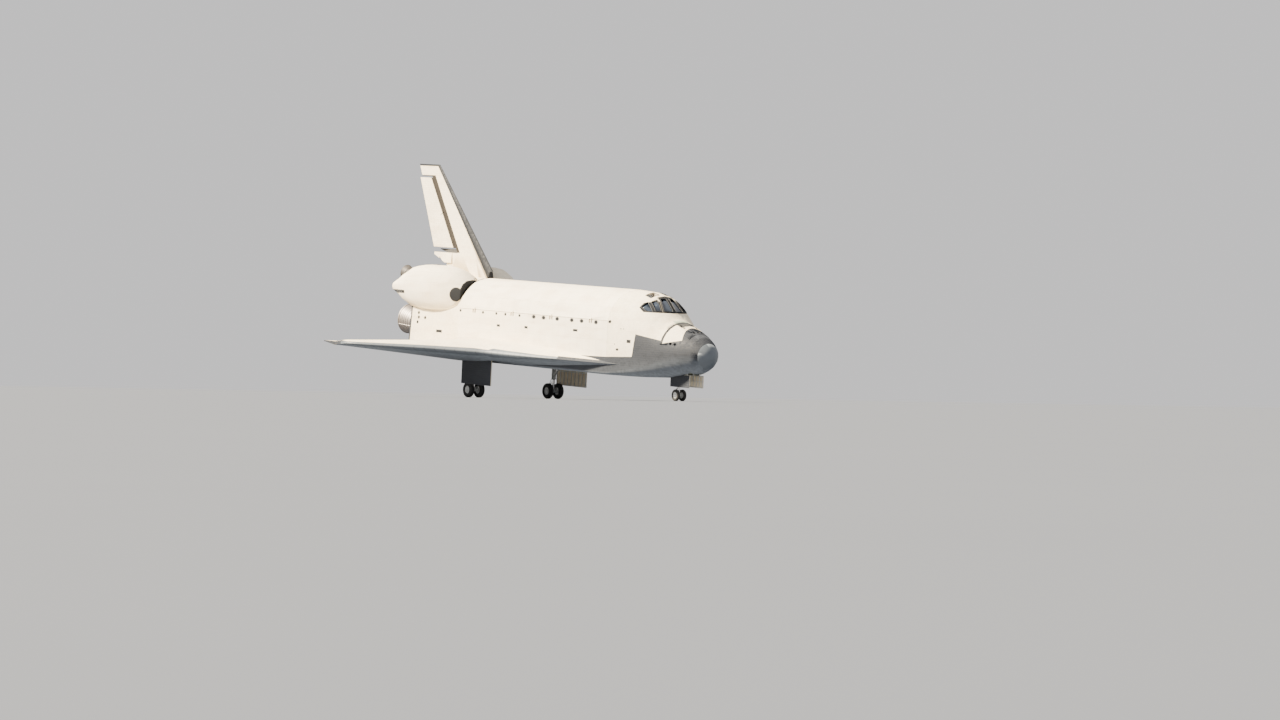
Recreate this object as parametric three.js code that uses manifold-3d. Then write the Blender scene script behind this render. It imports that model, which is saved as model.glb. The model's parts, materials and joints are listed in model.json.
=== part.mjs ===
// A winged space shuttle parked on its landing gear: hollow crew cabin, open payload bay under two long
// doors, delta wings with elevons, split rudder, body flap, two pods with manoeuvring engines and three
// main engines. Millimetres, +X to the nose, +Y to the left, +Z up. The origin is on the ground, at the
// middle of its length. Shapes are given in the airframe's own stations, in inches: station (aft), butt
// line (left) and water line (up).
import * as THREE from "three";
import { mergeVertices } from "three/addons/utils/BufferGeometryUtils.js";
import Module from "manifold-3d";

const wasm = await Module();
wasm.setup();

const INCH = 25.4;
const NOSE_DOWN_DEG = 3.05; // the parked attitude on the gear
const MID_STATION = 947; // station above the origin
const GROUND_WL = 178.5; // water line of the ground at that station
const GROUND_SLOPE = Math.tan(THREE.MathUtils.degToRad(NOSE_DOWN_DEG));
const SEAT = 0.3 / INCH; // gap between pieces that touch
const RUN = 8 / INCH; // gap round a moving piece

// Fuselage stations
const CAP_STA = 256;
const CABIN_FRONT = 400;
const CABIN_AFT = 578;
const BAY_AFT = 1307;
const BASE_STA = 1528;
// Section of the payload bay, its doors and their hinges
const DOME = { half: 104, wl: 405, rise: 96 };
const DOOR_THICK = 6;
const RADIATOR_THICK = 1.6;
const RADIATOR_AFT = 1190;
const BAY_HALF = 92.5;
const SILL_WL = 413;
const SILL_HALF = 104.3;
const SIDE = { half: 105, belly: 267, run: 10, rise: 8 };
const DOOR_HINGE = { bl: 105.9, wl: 415.2 };
const DOOR_HINGE_STATIONS = [660, 850, 1040, 1230];
// Wing, elevons and body flap
const WING_ROOT_BL = 98;
const WING_TIP_BL = 468;
const ELEVON_STA = 1387;
const ELEVON_AXIS = { wl: 288.5, tipWl: 302.5, r: 16.5, tipR: 5 };
const ELEVON_SPANS = { inboard: [128.5, 312.2], outboard: [312.8, 466] };
const ELEVON_LUGS = { inboard: [175, 265], outboard: [350, 430] };
const ELEVON_UP_DEG = 35;
const ELEVON_DOWN_DEG = 20;
const TRAILING = { sta: 1526, slope: 0.1773, wl: 284, tipWl: 306, half: 1.2 };
const FLAP = { sta: 1542, wl: 287.5, r: 11, half: 120, end: 1613, endWl: 284, endHalf: 1.6 };
const FLAP_LUGS = [-78, 78];
const LUG_HALF = 0.7;
// Fin and rudder
const FIN = { rootWl: 498, footWl: 566, tipWl: 818.7, rootLe: 1275, rootTe: 1546.5, tipTe: 1702 };
const FIN_TE_SLOPE = (FIN.tipTe - FIN.rootTe) / (FIN.tipWl - 503);
const RUDDER_LOW = [1491.2, 580];
const RUDDER_HIGH = [1629.74, 779];
const RUDDER_TIP_WL = 785;
const FIN_FAIRING = { sta: 1500, lowSta: 1533, endSta: 1596, wl: 537, endWl: 560, half: 11, endHalf: 7 };
const RUDDER_OPEN_DEG = 12; // how far each half stands open
const SHAFT_R = 1.9;
const KNUCKLE_R = 3.1;
// Landing gear
const NOSE_GEAR = { sta: 378, r: 16, halfWidth: 4.4, spread: 11, rim: 8.4 };
const MAIN_GEAR = { sta: 1166, bl: 136, r: 22.25, halfWidth: 8, spread: 17.6, rim: 10.8 };
const NOSE_WELL = { sta0: 300, sta1: 391, half: 24, ceiling: 316 };
const MAIN_WELL = { sta0: 1040, sta1: 1191, bl0: 108, bl1: 165, ceiling: 316 };
// Engines: gimbal point, pitch up and toe out in degrees, radius of the dome about the gimbal
const ENGINES = [
  { name: "main_engine_centre", sta: 1445, bl: 0, wl: 443, pitch: 16, toe: 0, dome: 94, rim: 21.5 },
  { name: "main_engine_left", sta: 1468.2, bl: 53, wl: 342.6, pitch: 10, toe: 3.5, dome: 73, rim: 46 },
  { name: "main_engine_right", sta: 1468.2, bl: -53, wl: 342.6, pitch: 10, toe: -3.5, dome: 73, rim: 46 },
];
const BELL_EXIT = { along: 157, r: 45.35 };
const PIN_R = 20; // hinge pins, in mm
const PIN_SIDES = 8;
const WHEEL_SIDES = 20;

const rad = THREE.MathUtils.degToRad;
const groundWl = (sta) => GROUND_WL + (MID_STATION - sta) * GROUND_SLOPE;
const at = (sta, bl, wl) =>
  new THREE.Vector3((MID_STATION - sta) * INCH, bl * INCH, (wl - GROUND_WL) * INCH);
const mix = (a, b, share) => a + (b - a) * share;

// Solids

function solidOf(geometry) {
  const bare = geometry.index ? geometry.toNonIndexed() : geometry.clone();
  bare.deleteAttribute("normal");
  bare.deleteAttribute("uv");
  const merged = mergeVertices(bare, 1e-3);
  const index = merged.index.array;
  const kept = [];
  for (let i = 0; i < index.length; i += 3) {
    const [a, b, c] = [index[i], index[i + 1], index[i + 2]];
    if (a !== b && b !== c && a !== c) kept.push(a, b, c);
  }
  const make = (triangles) =>
    new wasm.Manifold(
      new wasm.Mesh({
        numProp: 3,
        vertProperties: merged.attributes.position.array,
        triVerts: new Uint32Array(triangles),
      }),
    );
  const made = make(kept);
  if (made.volume() >= 0) return made;
  const turned = [];
  for (let i = 0; i < kept.length; i += 3) turned.push(kept[i], kept[i + 2], kept[i + 1]);
  return make(turned);
}

function geometryOf(solid) {
  const { numProp, vertProperties, triVerts } = solid.getMesh();
  const positions = new Float32Array((vertProperties.length / numProp) * 3);
  for (let i = 0; i < positions.length / 3; i++) {
    for (let k = 0; k < 3; k++) positions[3 * i + k] = vertProperties[i * numProp + k];
  }
  const geometry = new THREE.BufferGeometry();
  geometry.setAttribute("position", new THREE.BufferAttribute(positions, 3));
  geometry.setIndex(new THREE.BufferAttribute(new Uint32Array(triVerts), 1));
  return geometry;
}

// Triangles over a flat ring, turned the way the ring runs.
function capTriangles(ring) {
  const normal = new THREE.Vector3();
  ring.forEach((p, i) => normal.add(p.clone().cross(ring[(i + 1) % ring.length])));
  normal.normalize();
  const across = new THREE.Vector3(0, 0, 1).cross(normal);
  if (across.length() < 0.1) across.set(1, 0, 0);
  across.normalize();
  const up = normal.clone().cross(across);
  const flat = ring.map((p) => new THREE.Vector2(p.dot(across), p.dot(up)));
  return THREE.ShapeUtils.triangulateShape(flat, []);
}

// A closed body through flat rings of points, with as many points in each ring.
function loft(rings) {
  const count = rings[0].length;
  const positions = [];
  const face = (a, b, c) => positions.push(...a.toArray(), ...b.toArray(), ...c.toArray());
  for (let i = 0; i + 1 < rings.length; i++) {
    for (let k = 0; k < count; k++) {
      const next = (k + 1) % count;
      const [a, b, c, d] = [rings[i][k], rings[i][next], rings[i + 1][next], rings[i + 1][k]];
      // The shorter diagonal, so that the left and right sides are alike.
      if (a.distanceTo(c) <= b.distanceTo(d) + 1e-3) {
        face(a, b, c);
        face(a, c, d);
      } else {
        face(a, b, d);
        face(b, c, d);
      }
    }
  }
  for (const [a, b, c] of capTriangles(rings[0])) face(rings[0][a], rings[0][c], rings[0][b]);
  const last = rings.at(-1);
  for (const [a, b, c] of capTriangles(last)) face(last[a], last[b], last[c]);
  const geometry = new THREE.BufferGeometry();
  geometry.setAttribute("position", new THREE.Float32BufferAttribute(positions, 3));
  return solidOf(geometry);
}

// Prisms of an outline in two of the station axes, and a box.
const prismX = (outline, sta0, sta1) =>
  loft([sta0, sta1].map((sta) => outline.map(([bl, wl]) => at(sta, bl, wl))));
const prismY = (outline, bl0, bl1) =>
  loft([bl0, bl1].map((bl) => outline.map(([sta, wl]) => at(sta, bl, wl))));
const prismZ = (outline, wl0, wl1) =>
  loft([wl0, wl1].map((wl) => outline.map(([sta, bl]) => at(sta, bl, wl))));
const block = (sta0, sta1, bl0, bl1, wl0, wl1) =>
  prismX([[bl0, wl0], [bl1, wl0], [bl1, wl1], [bl0, wl1]], sta0, sta1);

// A cylinder or cone between two points, radii in inches, its facets turned by an angle.
function bar(from, to, r0, r1 = r0, sides = 10, turn = 0) {
  const along = to.clone().sub(from);
  const geometry = new THREE.CylinderGeometry(r1 * INCH, r0 * INCH, along.length(), sides, 1, false, turn);
  geometry.applyQuaternion(
    new THREE.Quaternion().setFromUnitVectors(new THREE.Vector3(0, 1, 0), along.clone().normalize()),
  );
  const middle = from.clone().add(to).multiplyScalar(0.5);
  geometry.translate(middle.x, middle.y, middle.z);
  return solidOf(geometry);
}

// A body turned about an axis: profile rows are [distance along, radius], in inches.
function turned(profile, from, axis, sides) {
  const points = profile.map(([along, r]) => new THREE.Vector2(r * INCH, along * INCH));
  const geometry = new THREE.LatheGeometry(points, sides);
  geometry.applyQuaternion(
    new THREE.Quaternion().setFromUnitVectors(new THREE.Vector3(0, 1, 0), axis.clone().normalize()),
  );
  geometry.translate(from.x, from.y, from.z);
  return solidOf(geometry);
}

// A shaft, and the bore that it turns in: the shaft's corners run along the middles of the bore's facets.
const CLEAR = 0.15;
const shaft = (from, to, r) => bar(from, to, r, r, PIN_SIDES);
function bore(from, to, r, turn = 0) {
  const across = (r + CLEAR / INCH) / Math.cos(Math.PI / PIN_SIDES);
  return bar(from, to, across, across, PIN_SIDES, Math.PI / PIN_SIDES + turn);
}
const pin = (from, to) => shaft(from, to, PIN_R / INCH);
const pinBore = (from, to) => bore(from, to, PIN_R / INCH);

const joined = (solids) => solids.reduce((a, b) => a.add(b));
const cut = (solid, ...cutters) => cutters.reduce((a, b) => a.subtract(b), solid);
const mirrored = (outline) => outline.map(([bl, wl]) => [-bl, wl]).reverse();

// Fuselage

// Columns: station, half width, belly, corner run, corner rise, shoulder half width, shoulder, crown
const BODY = [
  [236.4, 4, 335, 3, 4, 4, 339, 343],
  [239, 13, 325.5, 12, 13, 13, 338.6, 351.5],
  [245, 24, 315, 23, 23, 24, 338.2, 361.5],
  [256, 35, 304, 33, 33.5, 35, 337.8, 372],
  [276, 47.5, 293, 45, 44, 47.5, 337.5, 385],
  [308, 60.5, 283.5, 55, 49, 60.5, 338, 400],
  [345, 71.5, 277, 57, 47, 71, 343, 413],
  [385, 80.5, 272.3, 52, 40, 79.5, 350, 425],
  [400, 83.5, 271, 49, 37, 82, 353, 430],
  [422, 87.5, 269.7, 44, 33, 86, 359, 455.5],
  [446, 91.5, 268.5, 38, 28, 90, 367, 478],
  [470, 95.3, 267.8, 33, 24, 93.6, 377, 490.5],
  [505, 99.3, 267.3, 25, 18, 98, 390, 497.5],
  [CABIN_AFT, SIDE.half, SIDE.belly, SIDE.run, SIDE.rise, DOME.half, DOME.wl, DOME.wl + DOME.rise],
];
const AFT_BODY = [
  [BAY_AFT, SIDE.half, SIDE.belly, SIDE.run, SIDE.rise, DOME.half, DOME.wl, DOME.wl + DOME.rise],
  [ELEVON_STA, 111.5, 268.3, 10, 8, 108, 411, 505],
  [1460, 119.5, 271.5, 10, 8, 113, 419, 511],
  [BASE_STA, 126, 276, 10, 8, 117, 425, 518],
];
const CORNER_STEPS = 4;
const FULL = { corner: CORNER_STEPS, arc: 7 };
const PLAIN = { corner: 1, arc: 4 };

function bodyRing([sta, half, belly, run, rise, shoulderHalf, shoulder, crown], grow = 0, steps = FULL) {
  const side = [[half - run, belly - grow]];
  for (let k = 1; k <= steps.corner; k++) {
    const a = ((k / steps.corner) * Math.PI) / 2;
    side.push([half - run + (run + grow) * Math.sin(a), belly + rise - (rise + grow) * Math.cos(a)]);
  }
  for (let k = 0; k < steps.arc; k++) {
    const a = ((k / steps.arc) * Math.PI) / 2;
    side.push([
      (shoulderHalf + grow) * Math.cos(a),
      shoulder + (crown + grow - shoulder) * Math.sin(a),
    ]);
  }
  const left = side.map(([bl, wl]) => at(sta, bl, wl));
  const right = side.map(([bl, wl]) => at(sta, -bl, wl)).reverse();
  return [...left, at(sta, 0, crown + grow), ...right];
}
const bodyLoft = (rows, grow = 0, steps = FULL) => loft(rows.map((row) => bodyRing(row, grow, steps)));

// The row of a table at a station, between its neighbours.
function rowAt(table, sta) {
  const next = table.findIndex((row) => row[0] >= sta);
  const [a, b] = [table[next - 1], table[next]];
  const share = (sta - a[0]) / (b[0] - a[0]);
  return a.map((value, i) => mix(value, b[i], share));
}

// A point of the upper fuselage at a station, by its angle above the shoulder.
function bodyPoint(sta, degrees, side) {
  const [, , , , , shoulderHalf, shoulder, crown] = rowAt(BODY, sta);
  const a = rad(degrees);
  return at(sta, side * shoulderHalf * Math.cos(a), shoulder + (crown - shoulder) * Math.sin(a));
}

// Windows: corners as [station, degrees above the shoulder]
const WINDOWS = [
  [[415, 87], [421, 68.5], [457, 77], [454, 87]],
  [[425, 64], [434, 54.5], [463, 60.5], [458, 71.5]],
  [[438, 50], [452, 43], [477, 44], [471, 56.5]],
  [[476, 84], [476, 66], [502, 67], [502, 84]],
];
const WINDOW_TAPER = 0.965; // the pane's outline within its frame
const CABIN_WALL = 9;
const CABIN_FLOOR_WL = 296;
const PANE_DEPTH = 2.2; // below the outer skin

// A tapered block through the wall at a window.
function windowCutter(corners, side, out, depth, share = 1) {
  const ring = corners.map(([sta, degrees]) => bodyPoint(sta, degrees, side));
  const middle = ring.reduce((sum, p) => sum.add(p), new THREE.Vector3()).divideScalar(ring.length);
  const normal = ring[2].clone().sub(ring[0]).cross(ring[3].clone().sub(ring[1])).normalize();
  if (normal.dot(middle.clone().sub(at(470, 0, 390))) < 0) normal.negate();
  const fitted = ring.map((p) => middle.clone().lerp(p, share));
  const flat = fitted.map((p) => p.clone().addScaledVector(normal, -normal.dot(p.clone().sub(middle))));
  return loft([out, -depth].map((d) => flat.map((p) => p.clone().addScaledVector(normal, d * INCH))));
}
const windowCutters = (out, depth, share) =>
  [-1, 1].flatMap((side) => WINDOWS.map((corners) => windowCutter(corners, side, out, depth, share)));

function cabinSpace(inset = 0) {
  const wall = CABIN_WALL + inset;
  const rows = BODY.filter(([sta]) => sta >= CABIN_FRONT).map(
    ([sta, half, , , , shoulderHalf, shoulder, crown]) => [
      sta, half - wall, CABIN_FLOOR_WL + inset, 14, 14, shoulderHalf - wall, shoulder, crown - wall,
    ],
  );
  rows[0][0] = CABIN_FRONT + 5 + inset;
  rows.at(-1)[0] = CABIN_AFT + 1;
  return bodyLoft(rows, 0, PLAIN);
}

// Side hatch on the left: a tapered plug that swings out and down on a hinge under it.
// The plug's butt line and radius are given at its inner and outer ends.
const HATCH = { sta: 492, wl: 345, r: 20, windowR: 5.2, inner: [86, 16.5], outer: [130, 27.9] };
const HATCH_HINGE = { bl: 101.4, wl: HATCH.wl - HATCH.r - 2.2 };
const hatchDisc = (r, bl0, bl1, sides = 24) =>
  bar(at(HATCH.sta, bl0, HATCH.wl), at(HATCH.sta, bl1, HATCH.wl), r, r, sides);
const RCS_MODULE = { sta0: 293, sta1: 374, wl: 360 };
const CAP_SLANT = 4;

const outerNose = bodyLoft(BODY);
const capOutline = (gap) => [
  [200, 240], [CAP_STA + CAP_SLANT + gap, 240], [CAP_STA - CAP_SLANT + gap, 440], [200, 440],
];
const port = (sta, bl, wl, axis, r) =>
  bar(
    at(sta, bl, wl).addScaledVector(axis, -9 * INCH),
    at(sta, bl, wl).addScaledVector(axis, 9 * INCH), r, r, 8,
  );

// Thruster ports: four looking up, three ahead and up, and two to each side.
function thrusterPorts() {
  const up = new THREE.Vector3(0, 0, 1);
  const ahead = new THREE.Vector3(0.55, 0, 1).normalize();
  const ports = [-20, 20].flatMap((bl) => [340, 354].map((sta) => port(sta, bl, 408, up, 3.8)));
  for (const bl of [-13, 0, 13]) ports.push(port(305, bl, 398, ahead, 4));
  for (const side of [-1, 1]) {
    const out = new THREE.Vector3(0, side, 0.2).normalize();
    for (const sta of [326, 340]) ports.push(port(sta, side * 66, 365, out, 3.8));
  }
  return ports;
}
const modulePrism = (gap) =>
  block(RCS_MODULE.sta0 - gap, RCS_MODULE.sta1 + gap, -120, 120, RCS_MODULE.wl - gap, 470);

function forwardFuselage() {
  const { sta, r } = HATCH;
  const { bl, wl } = HATCH_HINGE;
  const { sta0, sta1, half, ceiling } = NOSE_WELL;
  const well = block(sta0, sta1, -half, half, 240, ceiling);
  const hinges = [-1, 1].map((end) => block(
    sta + end * 7.6, sta + end * 9.4, 95, bl + 1.3, wl - 1.3, wl + 1.3,
  ));
  const shell = cut(
    outerNose, prismY(capOutline(SEAT), -120, 120), modulePrism(SEAT), cabinSpace(), well,
    ...windowCutters(30, 40), hatchDisc(r + RUN, 70, 130),
    block(sta - 5, sta + 5, 96.6, 130, wl - 1.8, HATCH.wl - 14),
  );
  return joined([shell, ...hinges, pin(at(sta - 9, bl, wl), at(sta + 9, bl, wl))]);
}

function crewHatch() {
  const { sta, wl, r } = HATCH;
  const hinge = HATCH_HINGE;
  const [inner, outer] = [HATCH.inner, HATCH.outer];
  const plug = bar(at(HATCH.sta, inner[0], wl), at(HATCH.sta, outer[0], wl), inner[1], outer[1], 24);
  const arm = block(sta - 4, sta + 4, 97.4, hinge.bl + 1.2, hinge.wl - 1.2, wl - r + 5);
  const hole = pinBore(at(sta - 9, hinge.bl, hinge.wl), at(sta + 9, hinge.bl, hinge.wl));
  return cut(plug.intersect(outerNose).add(arm), hatchDisc(HATCH.windowR, 80, 140, 16), hole);
}

// The panes stand in their frames on a glazed inner band of the cabin.
function windowPanes() {
  const band = cut(cabinSpace(SEAT), cabinSpace(1), block(500 + 8, 600, -130, 130, 200, 600));
  const upper = band.intersect(block(380, 508, -130, 130, 418, 600));
  const below = bodyLoft(BODY, -PANE_DEPTH, PLAIN);
  const inside = cabinSpace(0.6);
  const plugs = windowCutters(10, 12, WINDOW_TAPER).map((plug) => cut(plug.intersect(below), inside));
  return joined([upper, ...plugs]);
}

function aftBulkhead() {
  const plate = block(CABIN_AFT - 9, CABIN_AFT, -130, 130, 200, 600).intersect(cabinSpace(SEAT));
  const windows = [-22, 22].map((bl) => block(560, 590, bl - 6, bl + 6, 448, 462));
  const airlock = bar(at(560, 0, 345), at(590, 0, 345), 20, 20, 20);
  return cut(plate, ...windows, airlock);
}

// Floor of the flight deck with its forward console, centre pedestal and aft console.
const DECK = { wl: 398, thick: 3, front: 424, aft: 566 };
function flightDeck() {
  const floor = block(DECK.front, DECK.aft, -130, 130, DECK.wl - DECK.thick, DECK.wl);
  const console = prismY([[424, 398], [436, 398], [447, 426], [441, 437], [424, 431]], -62, 62);
  const pedestal = block(436, 478, -6, 6, 397, 417);
  const aftConsole = prismY([[566, 398], [551, 398], [551, 434], [556, 440], [566, 440]], -60, 60);
  const stands = joined([console, pedestal, aftConsole]).intersect(cabinSpace(1 + SEAT));
  return floor.intersect(cabinSpace(SEAT)).add(stands);
}

function crewSeat(bl) {
  const seat = block(458, 480, bl - 10, bl + 10, DECK.wl + 15, DECK.wl + 20);
  const back = prismY([[476, 413], [481, 413], [489, 452], [484, 452]], bl - 9, bl + 9);
  const base = block(462, 478, bl - 7, bl + 7, DECK.wl + SEAT, DECK.wl + 16);
  return joined([seat, back, base]);
}

// The middle of the fuselage: an open trough with the payload bay in it.
const arch = (half, rise, wl, from, to, steps) =>
  Array.from({ length: steps + 1 }, (_, i) => {
    const a = rad(mix(from, to, i / steps));
    return [half * Math.cos(a), wl + rise * Math.sin(a)];
  });

function midOutline(grow) {
  const { half, belly, run, rise } = SIDE;
  const corner = Array.from({ length: CORNER_STEPS + 1 }, (_, k) => {
    const a = ((k / CORNER_STEPS) * Math.PI) / 2;
    return [half - run + (run + grow) * Math.sin(a), belly + rise - (rise + grow) * Math.cos(a)];
  });
  return [...corner, [SILL_HALF + grow, SILL_WL + grow]];
}
function midOuter(grow = 0) {
  const left = midOutline(grow);
  return prismX([...left, ...mirrored(left)], CABIN_AFT + SEAT - grow, BAY_AFT - SEAT + grow);
}
const LUG_GAP = 4; // from the middle of a door hinge to its carrying lugs
function midFuselage() {
  const half = arch(BAY_HALF, DOME.wl - 307, DOME.wl, -90, 0, 8);
  const open = [[BAY_HALF, 430], [-BAY_HALF, 430]];
  const bay = prismX([...half, ...open, ...mirrored(half).slice(0, -1)], 570, 1320);
  const parts = [midOuter().subtract(bay)];
  for (const side of [-1, 1]) {
    for (const sta of DOOR_HINGE_STATIONS) {
      const { bl, wl } = DOOR_HINGE;
      for (const end of [-1, 1]) {
        const lug = [
          [102, 404], [bl - 0.6, 404], [bl + 1.3, 410], [bl + 1.3, wl + 1.1], [bl - 1.3, wl + 1.1],
          [bl - 1.3, SILL_WL + 0.1], [102, SILL_WL - 0.4],
        ];
        const outline = lug.map(([x, z]) => [side * x, z]);
        parts.push(prismX(outline, sta + end * LUG_GAP, sta + end * (LUG_GAP + 2)));
      }
      const reach = LUG_GAP + 1;
      parts.push(pin(at(sta - reach, side * bl, wl), at(sta + reach, side * bl, wl)));
    }
  }
  return joined(parts);
}

const DOOR_LOW_DEG = 5.4;
const DOOR_TOP_GAP_DEG = 0.25;
const DOOR_END_GAP = 0.45;
const DOOR_STEPS = 8;
function shellArc(half, rise, thick, side, from, sta0, sta1) {
  const high = 90 - DOOR_TOP_GAP_DEG;
  const outer = arch(half, rise, DOME.wl, DOOR_LOW_DEG, high, DOOR_STEPS).slice(from);
  const inner = arch(half - thick, rise - thick, DOME.wl, DOOR_LOW_DEG, high, DOOR_STEPS).slice(from);
  return prismX([...outer, ...inner.reverse()].map(([bl, wl]) => [side * bl, wl]), sta0, sta1);
}
function payloadDoor(side) {
  const { bl, wl } = DOOR_HINGE;
  const panel = shellArc(
    DOME.half, DOME.rise, DOOR_THICK, side, 0,
    CABIN_AFT + DOOR_END_GAP, BAY_AFT - DOOR_END_GAP,
  );
  const half = LUG_GAP - RUN;
  const arms = DOOR_HINGE_STATIONS.map((sta) => {
    const arm = [
      [99.5, 416], [bl - 0.4, wl - 1.3], [bl + 1.2, wl - 0.6], [bl + 1.2, wl + 0.8], [99.5, 422],
    ];
    return prismX(arm.map(([x, z]) => [side * x, z]), sta - half, sta + half);
  });
  const bores = DOOR_HINGE_STATIONS.map((sta) =>
    pinBore(at(sta - 5, side * bl, wl), at(sta + 5, side * bl, wl)));
  return cut(joined([panel, ...arms]), ...bores);
}
const radiator = (side) =>
  shellArc(
    DOME.half - DOOR_THICK - SEAT, DOME.rise - DOOR_THICK - SEAT, RADIATOR_THICK, side,
    1, CABIN_AFT + 8, RADIATOR_AFT,
  );

const AFT_WALL = 11;
const AFT_ROOF = 7;
const AFT_FLOOR = 11;
const AFT_BULKHEAD = 8;
const GIMBAL_R = 2.6; // shafts across the aft body that carry the engines
const aftOuter = (grow = 0) => bodyLoft(AFT_BODY, grow);
function aftFuselage() {
  const inner = AFT_BODY.map(([sta, half, belly, , , shoulderHalf, shoulder, crown]) => [
    sta, half - AFT_WALL, belly + AFT_FLOOR, 12, 10, shoulderHalf - AFT_WALL, shoulder, crown - AFT_ROOF,
  ]);
  inner[0][0] += AFT_BULKHEAD;
  inner.at(-1)[0] += 2;
  const lugs = FLAP_LUGS.flatMap((bl) => [
    flapLug(FLAP.sta, FLAP.wl, FLAP.r, bl, [[BASE_STA - 4, 290], [BASE_STA - 4, 279.5]]),
    pin(at(FLAP.sta, bl - PIN_REACH, FLAP.wl), at(FLAP.sta, bl + PIN_REACH, FLAP.wl)),
  ]);
  const wallMiddle = aftOuter(-AFT_WALL / 2);
  const gimbalShafts = ENGINES.slice(0, 2).map(({ sta, wl }) =>
    shaft(at(sta, -140, wl), at(sta, 140, wl), GIMBAL_R).intersect(wallMiddle));
  return joined([cut(aftOuter(), bodyLoft(inner, 0, PLAIN), upperSweep), ...lugs, ...gimbalShafts]);
}

// Aft plate with round openings for the engines' domes.
const PLATE = { thick: 5, bottom: 296, inset: 1.5 };
const NOTCH = { half: 36, wl: 451 };
// A lower engine's opening: round about the gimbal, drawn out at the top for the swing of the bell.
const HOLE = { fromDeg: 160, toDeg: 380, out: 3.7, up: 23, r: 34.5, topFromDeg: 12, topToDeg: 168 };
const around = (bl, wl, r, from, to, steps) => Array.from({ length: steps + 1 }, (_, i) => {
  const a = rad(mix(from, to, i / steps));
  return [bl + r * Math.cos(a), wl + r * Math.sin(a)];
});
const GIMBAL_DEG = 10.5;
function engineAxis({ pitch, toe }, more = 0) {
  const axis = new THREE.Vector3(
    -Math.cos(rad(pitch)) * Math.cos(rad(toe)), Math.sin(rad(toe)), Math.sin(rad(pitch)),
  );
  return axis.applyAxisAngle(new THREE.Vector3(0, 1, 0), rad(more));
}
function baseShield() {
  const [, half, belly, run, rise, shoulderHalf, shoulder, crown] = AFT_BODY.at(-1);
  const { inset } = PLATE;
  const row = [half - inset, belly + inset, run, rise, shoulderHalf - inset, shoulder, crown - inset];
  const plate = bodyLoft([[BASE_STA + SEAT, ...row], [BASE_STA + PLATE.thick, ...row]]);
  const trimmed = plate.subtract(block(1500, 1560, -140, 140, 240, PLATE.bottom));
  const holes = ENGINES.slice(1).map(({ sta, bl, wl, dome }) => {
    const r = Math.sqrt(dome ** 2 - (BASE_STA - 1 - sta) ** 2) + 0.6;
    return prismX([
      ...around(bl, wl, r, HOLE.fromDeg, HOLE.toDeg, 14),
      ...around(bl + Math.sign(bl) * HOLE.out, wl + HOLE.up, HOLE.r, HOLE.topFromDeg, HOLE.topToDeg, 8),
    ], BASE_STA - 5, BASE_STA + 10);
  });
  // The upper engine swings in a notch that is open at the top.
  const round = arch(NOTCH.half, NOTCH.half, NOTCH.wl, 180, 360, 10);
  const notch = prismX([...round, [NOTCH.half, 560], [-NOTCH.half, 560]], BASE_STA - 5, BASE_STA + 10);
  return cut(trimmed, ...holes, notch);
}

// The room that an engine takes as it swings up and down on its gimbal.
const SWEEP_SIDES = 12;
function engineSweep(engine) {
  const rimR = engine.dome * Math.sin(rad(engine.rim));
  const rimAlong = engine.dome * Math.cos(rad(engine.rim));
  const room = 0.6;
  const outline = [
    [10, 0], [10, 17], [rimAlong - 6, 19], [rimAlong - 2, rimR + room], [rimAlong + 1, rimR + room],
    ...arcOf(engine.dome + room, rad(engine.rim), Math.asin(NECK_R / engine.dome), 2).slice(1),
    ...BELL.filter(([along]) => along > engine.dome).map(([along, r]) => [along, r + room]),
    [BELL_EXIT.along + 1, 0],
  ];
  const profile = outline.map(([along, r]) => [along, r / Math.cos(Math.PI / SWEEP_SIDES)]);
  return joined([-1, -0.5, 0, 0.5, 1].map((share) => turned(
    profile, at(engine.sta, engine.bl, engine.wl), engineAxis(engine, share * GIMBAL_DEG), SWEEP_SIDES,
  )));
}
// Main engines: a dome about the gimbal and a hollow bell
const BELL = [[66, 20], [84, 28.6], [108, 36.8], [BELL_EXIT.along, BELL_EXIT.r]];
const BELL_WALL = 1.6;
const NECK_R = 27;
const arcOf = (r, from, to, steps) => Array.from({ length: steps + 1 }, (_, i) => {
  const a = mix(from, to, i / steps);
  return [r * Math.cos(a), r * Math.sin(a)];
});
function mainEngine(engine) {
  const { sta, bl, wl, dome, rim } = engine;
  const start = Math.asin(NECK_R / dome);
  const profile = [
    [-6, 0], [-6, 6.5], [22, 15], [44, 15],
    ...arcOf(dome - 2, start * 0.7, rad(rim), 2),
    ...arcOf(dome, rad(rim), start, 2),
    ...BELL.filter(([along]) => along > dome * Math.cos(start) + 3),
    [BELL_EXIT.along, BELL_EXIT.r - BELL_WALL],
    ...BELL.slice(0, -1).reverse().map(([along, r]) => [along, r - BELL_WALL - 0.5]),
    [58, 0],
  ];
  const body = turned(profile, at(sta, bl, wl), engineAxis(engine), 16);
  return body.subtract(bore(at(sta, bl - 20, wl), at(sta, bl + 20, wl), GIMBAL_R));
}
const upperSweep = engineSweep(ENGINES[0]);

// Wing

const spanShare = (bl) => (bl - WING_ROOT_BL) / (WING_TIP_BL - WING_ROOT_BL);
const hingeWl = (bl) => mix(ELEVON_AXIS.wl, ELEVON_AXIS.tipWl, spanShare(bl));
const hingeR = (bl) => mix(ELEVON_AXIS.r, ELEVON_AXIS.tipR, spanShare(bl));
const trailingSta = (bl) => TRAILING.sta - TRAILING.slope * bl;
const trailingWl = (bl) => mix(TRAILING.wl, TRAILING.tipWl, spanShare(bl));
const HINGE_TILT = (ELEVON_AXIS.tipWl - ELEVON_AXIS.wl) / (WING_TIP_BL - WING_ROOT_BL);

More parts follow.
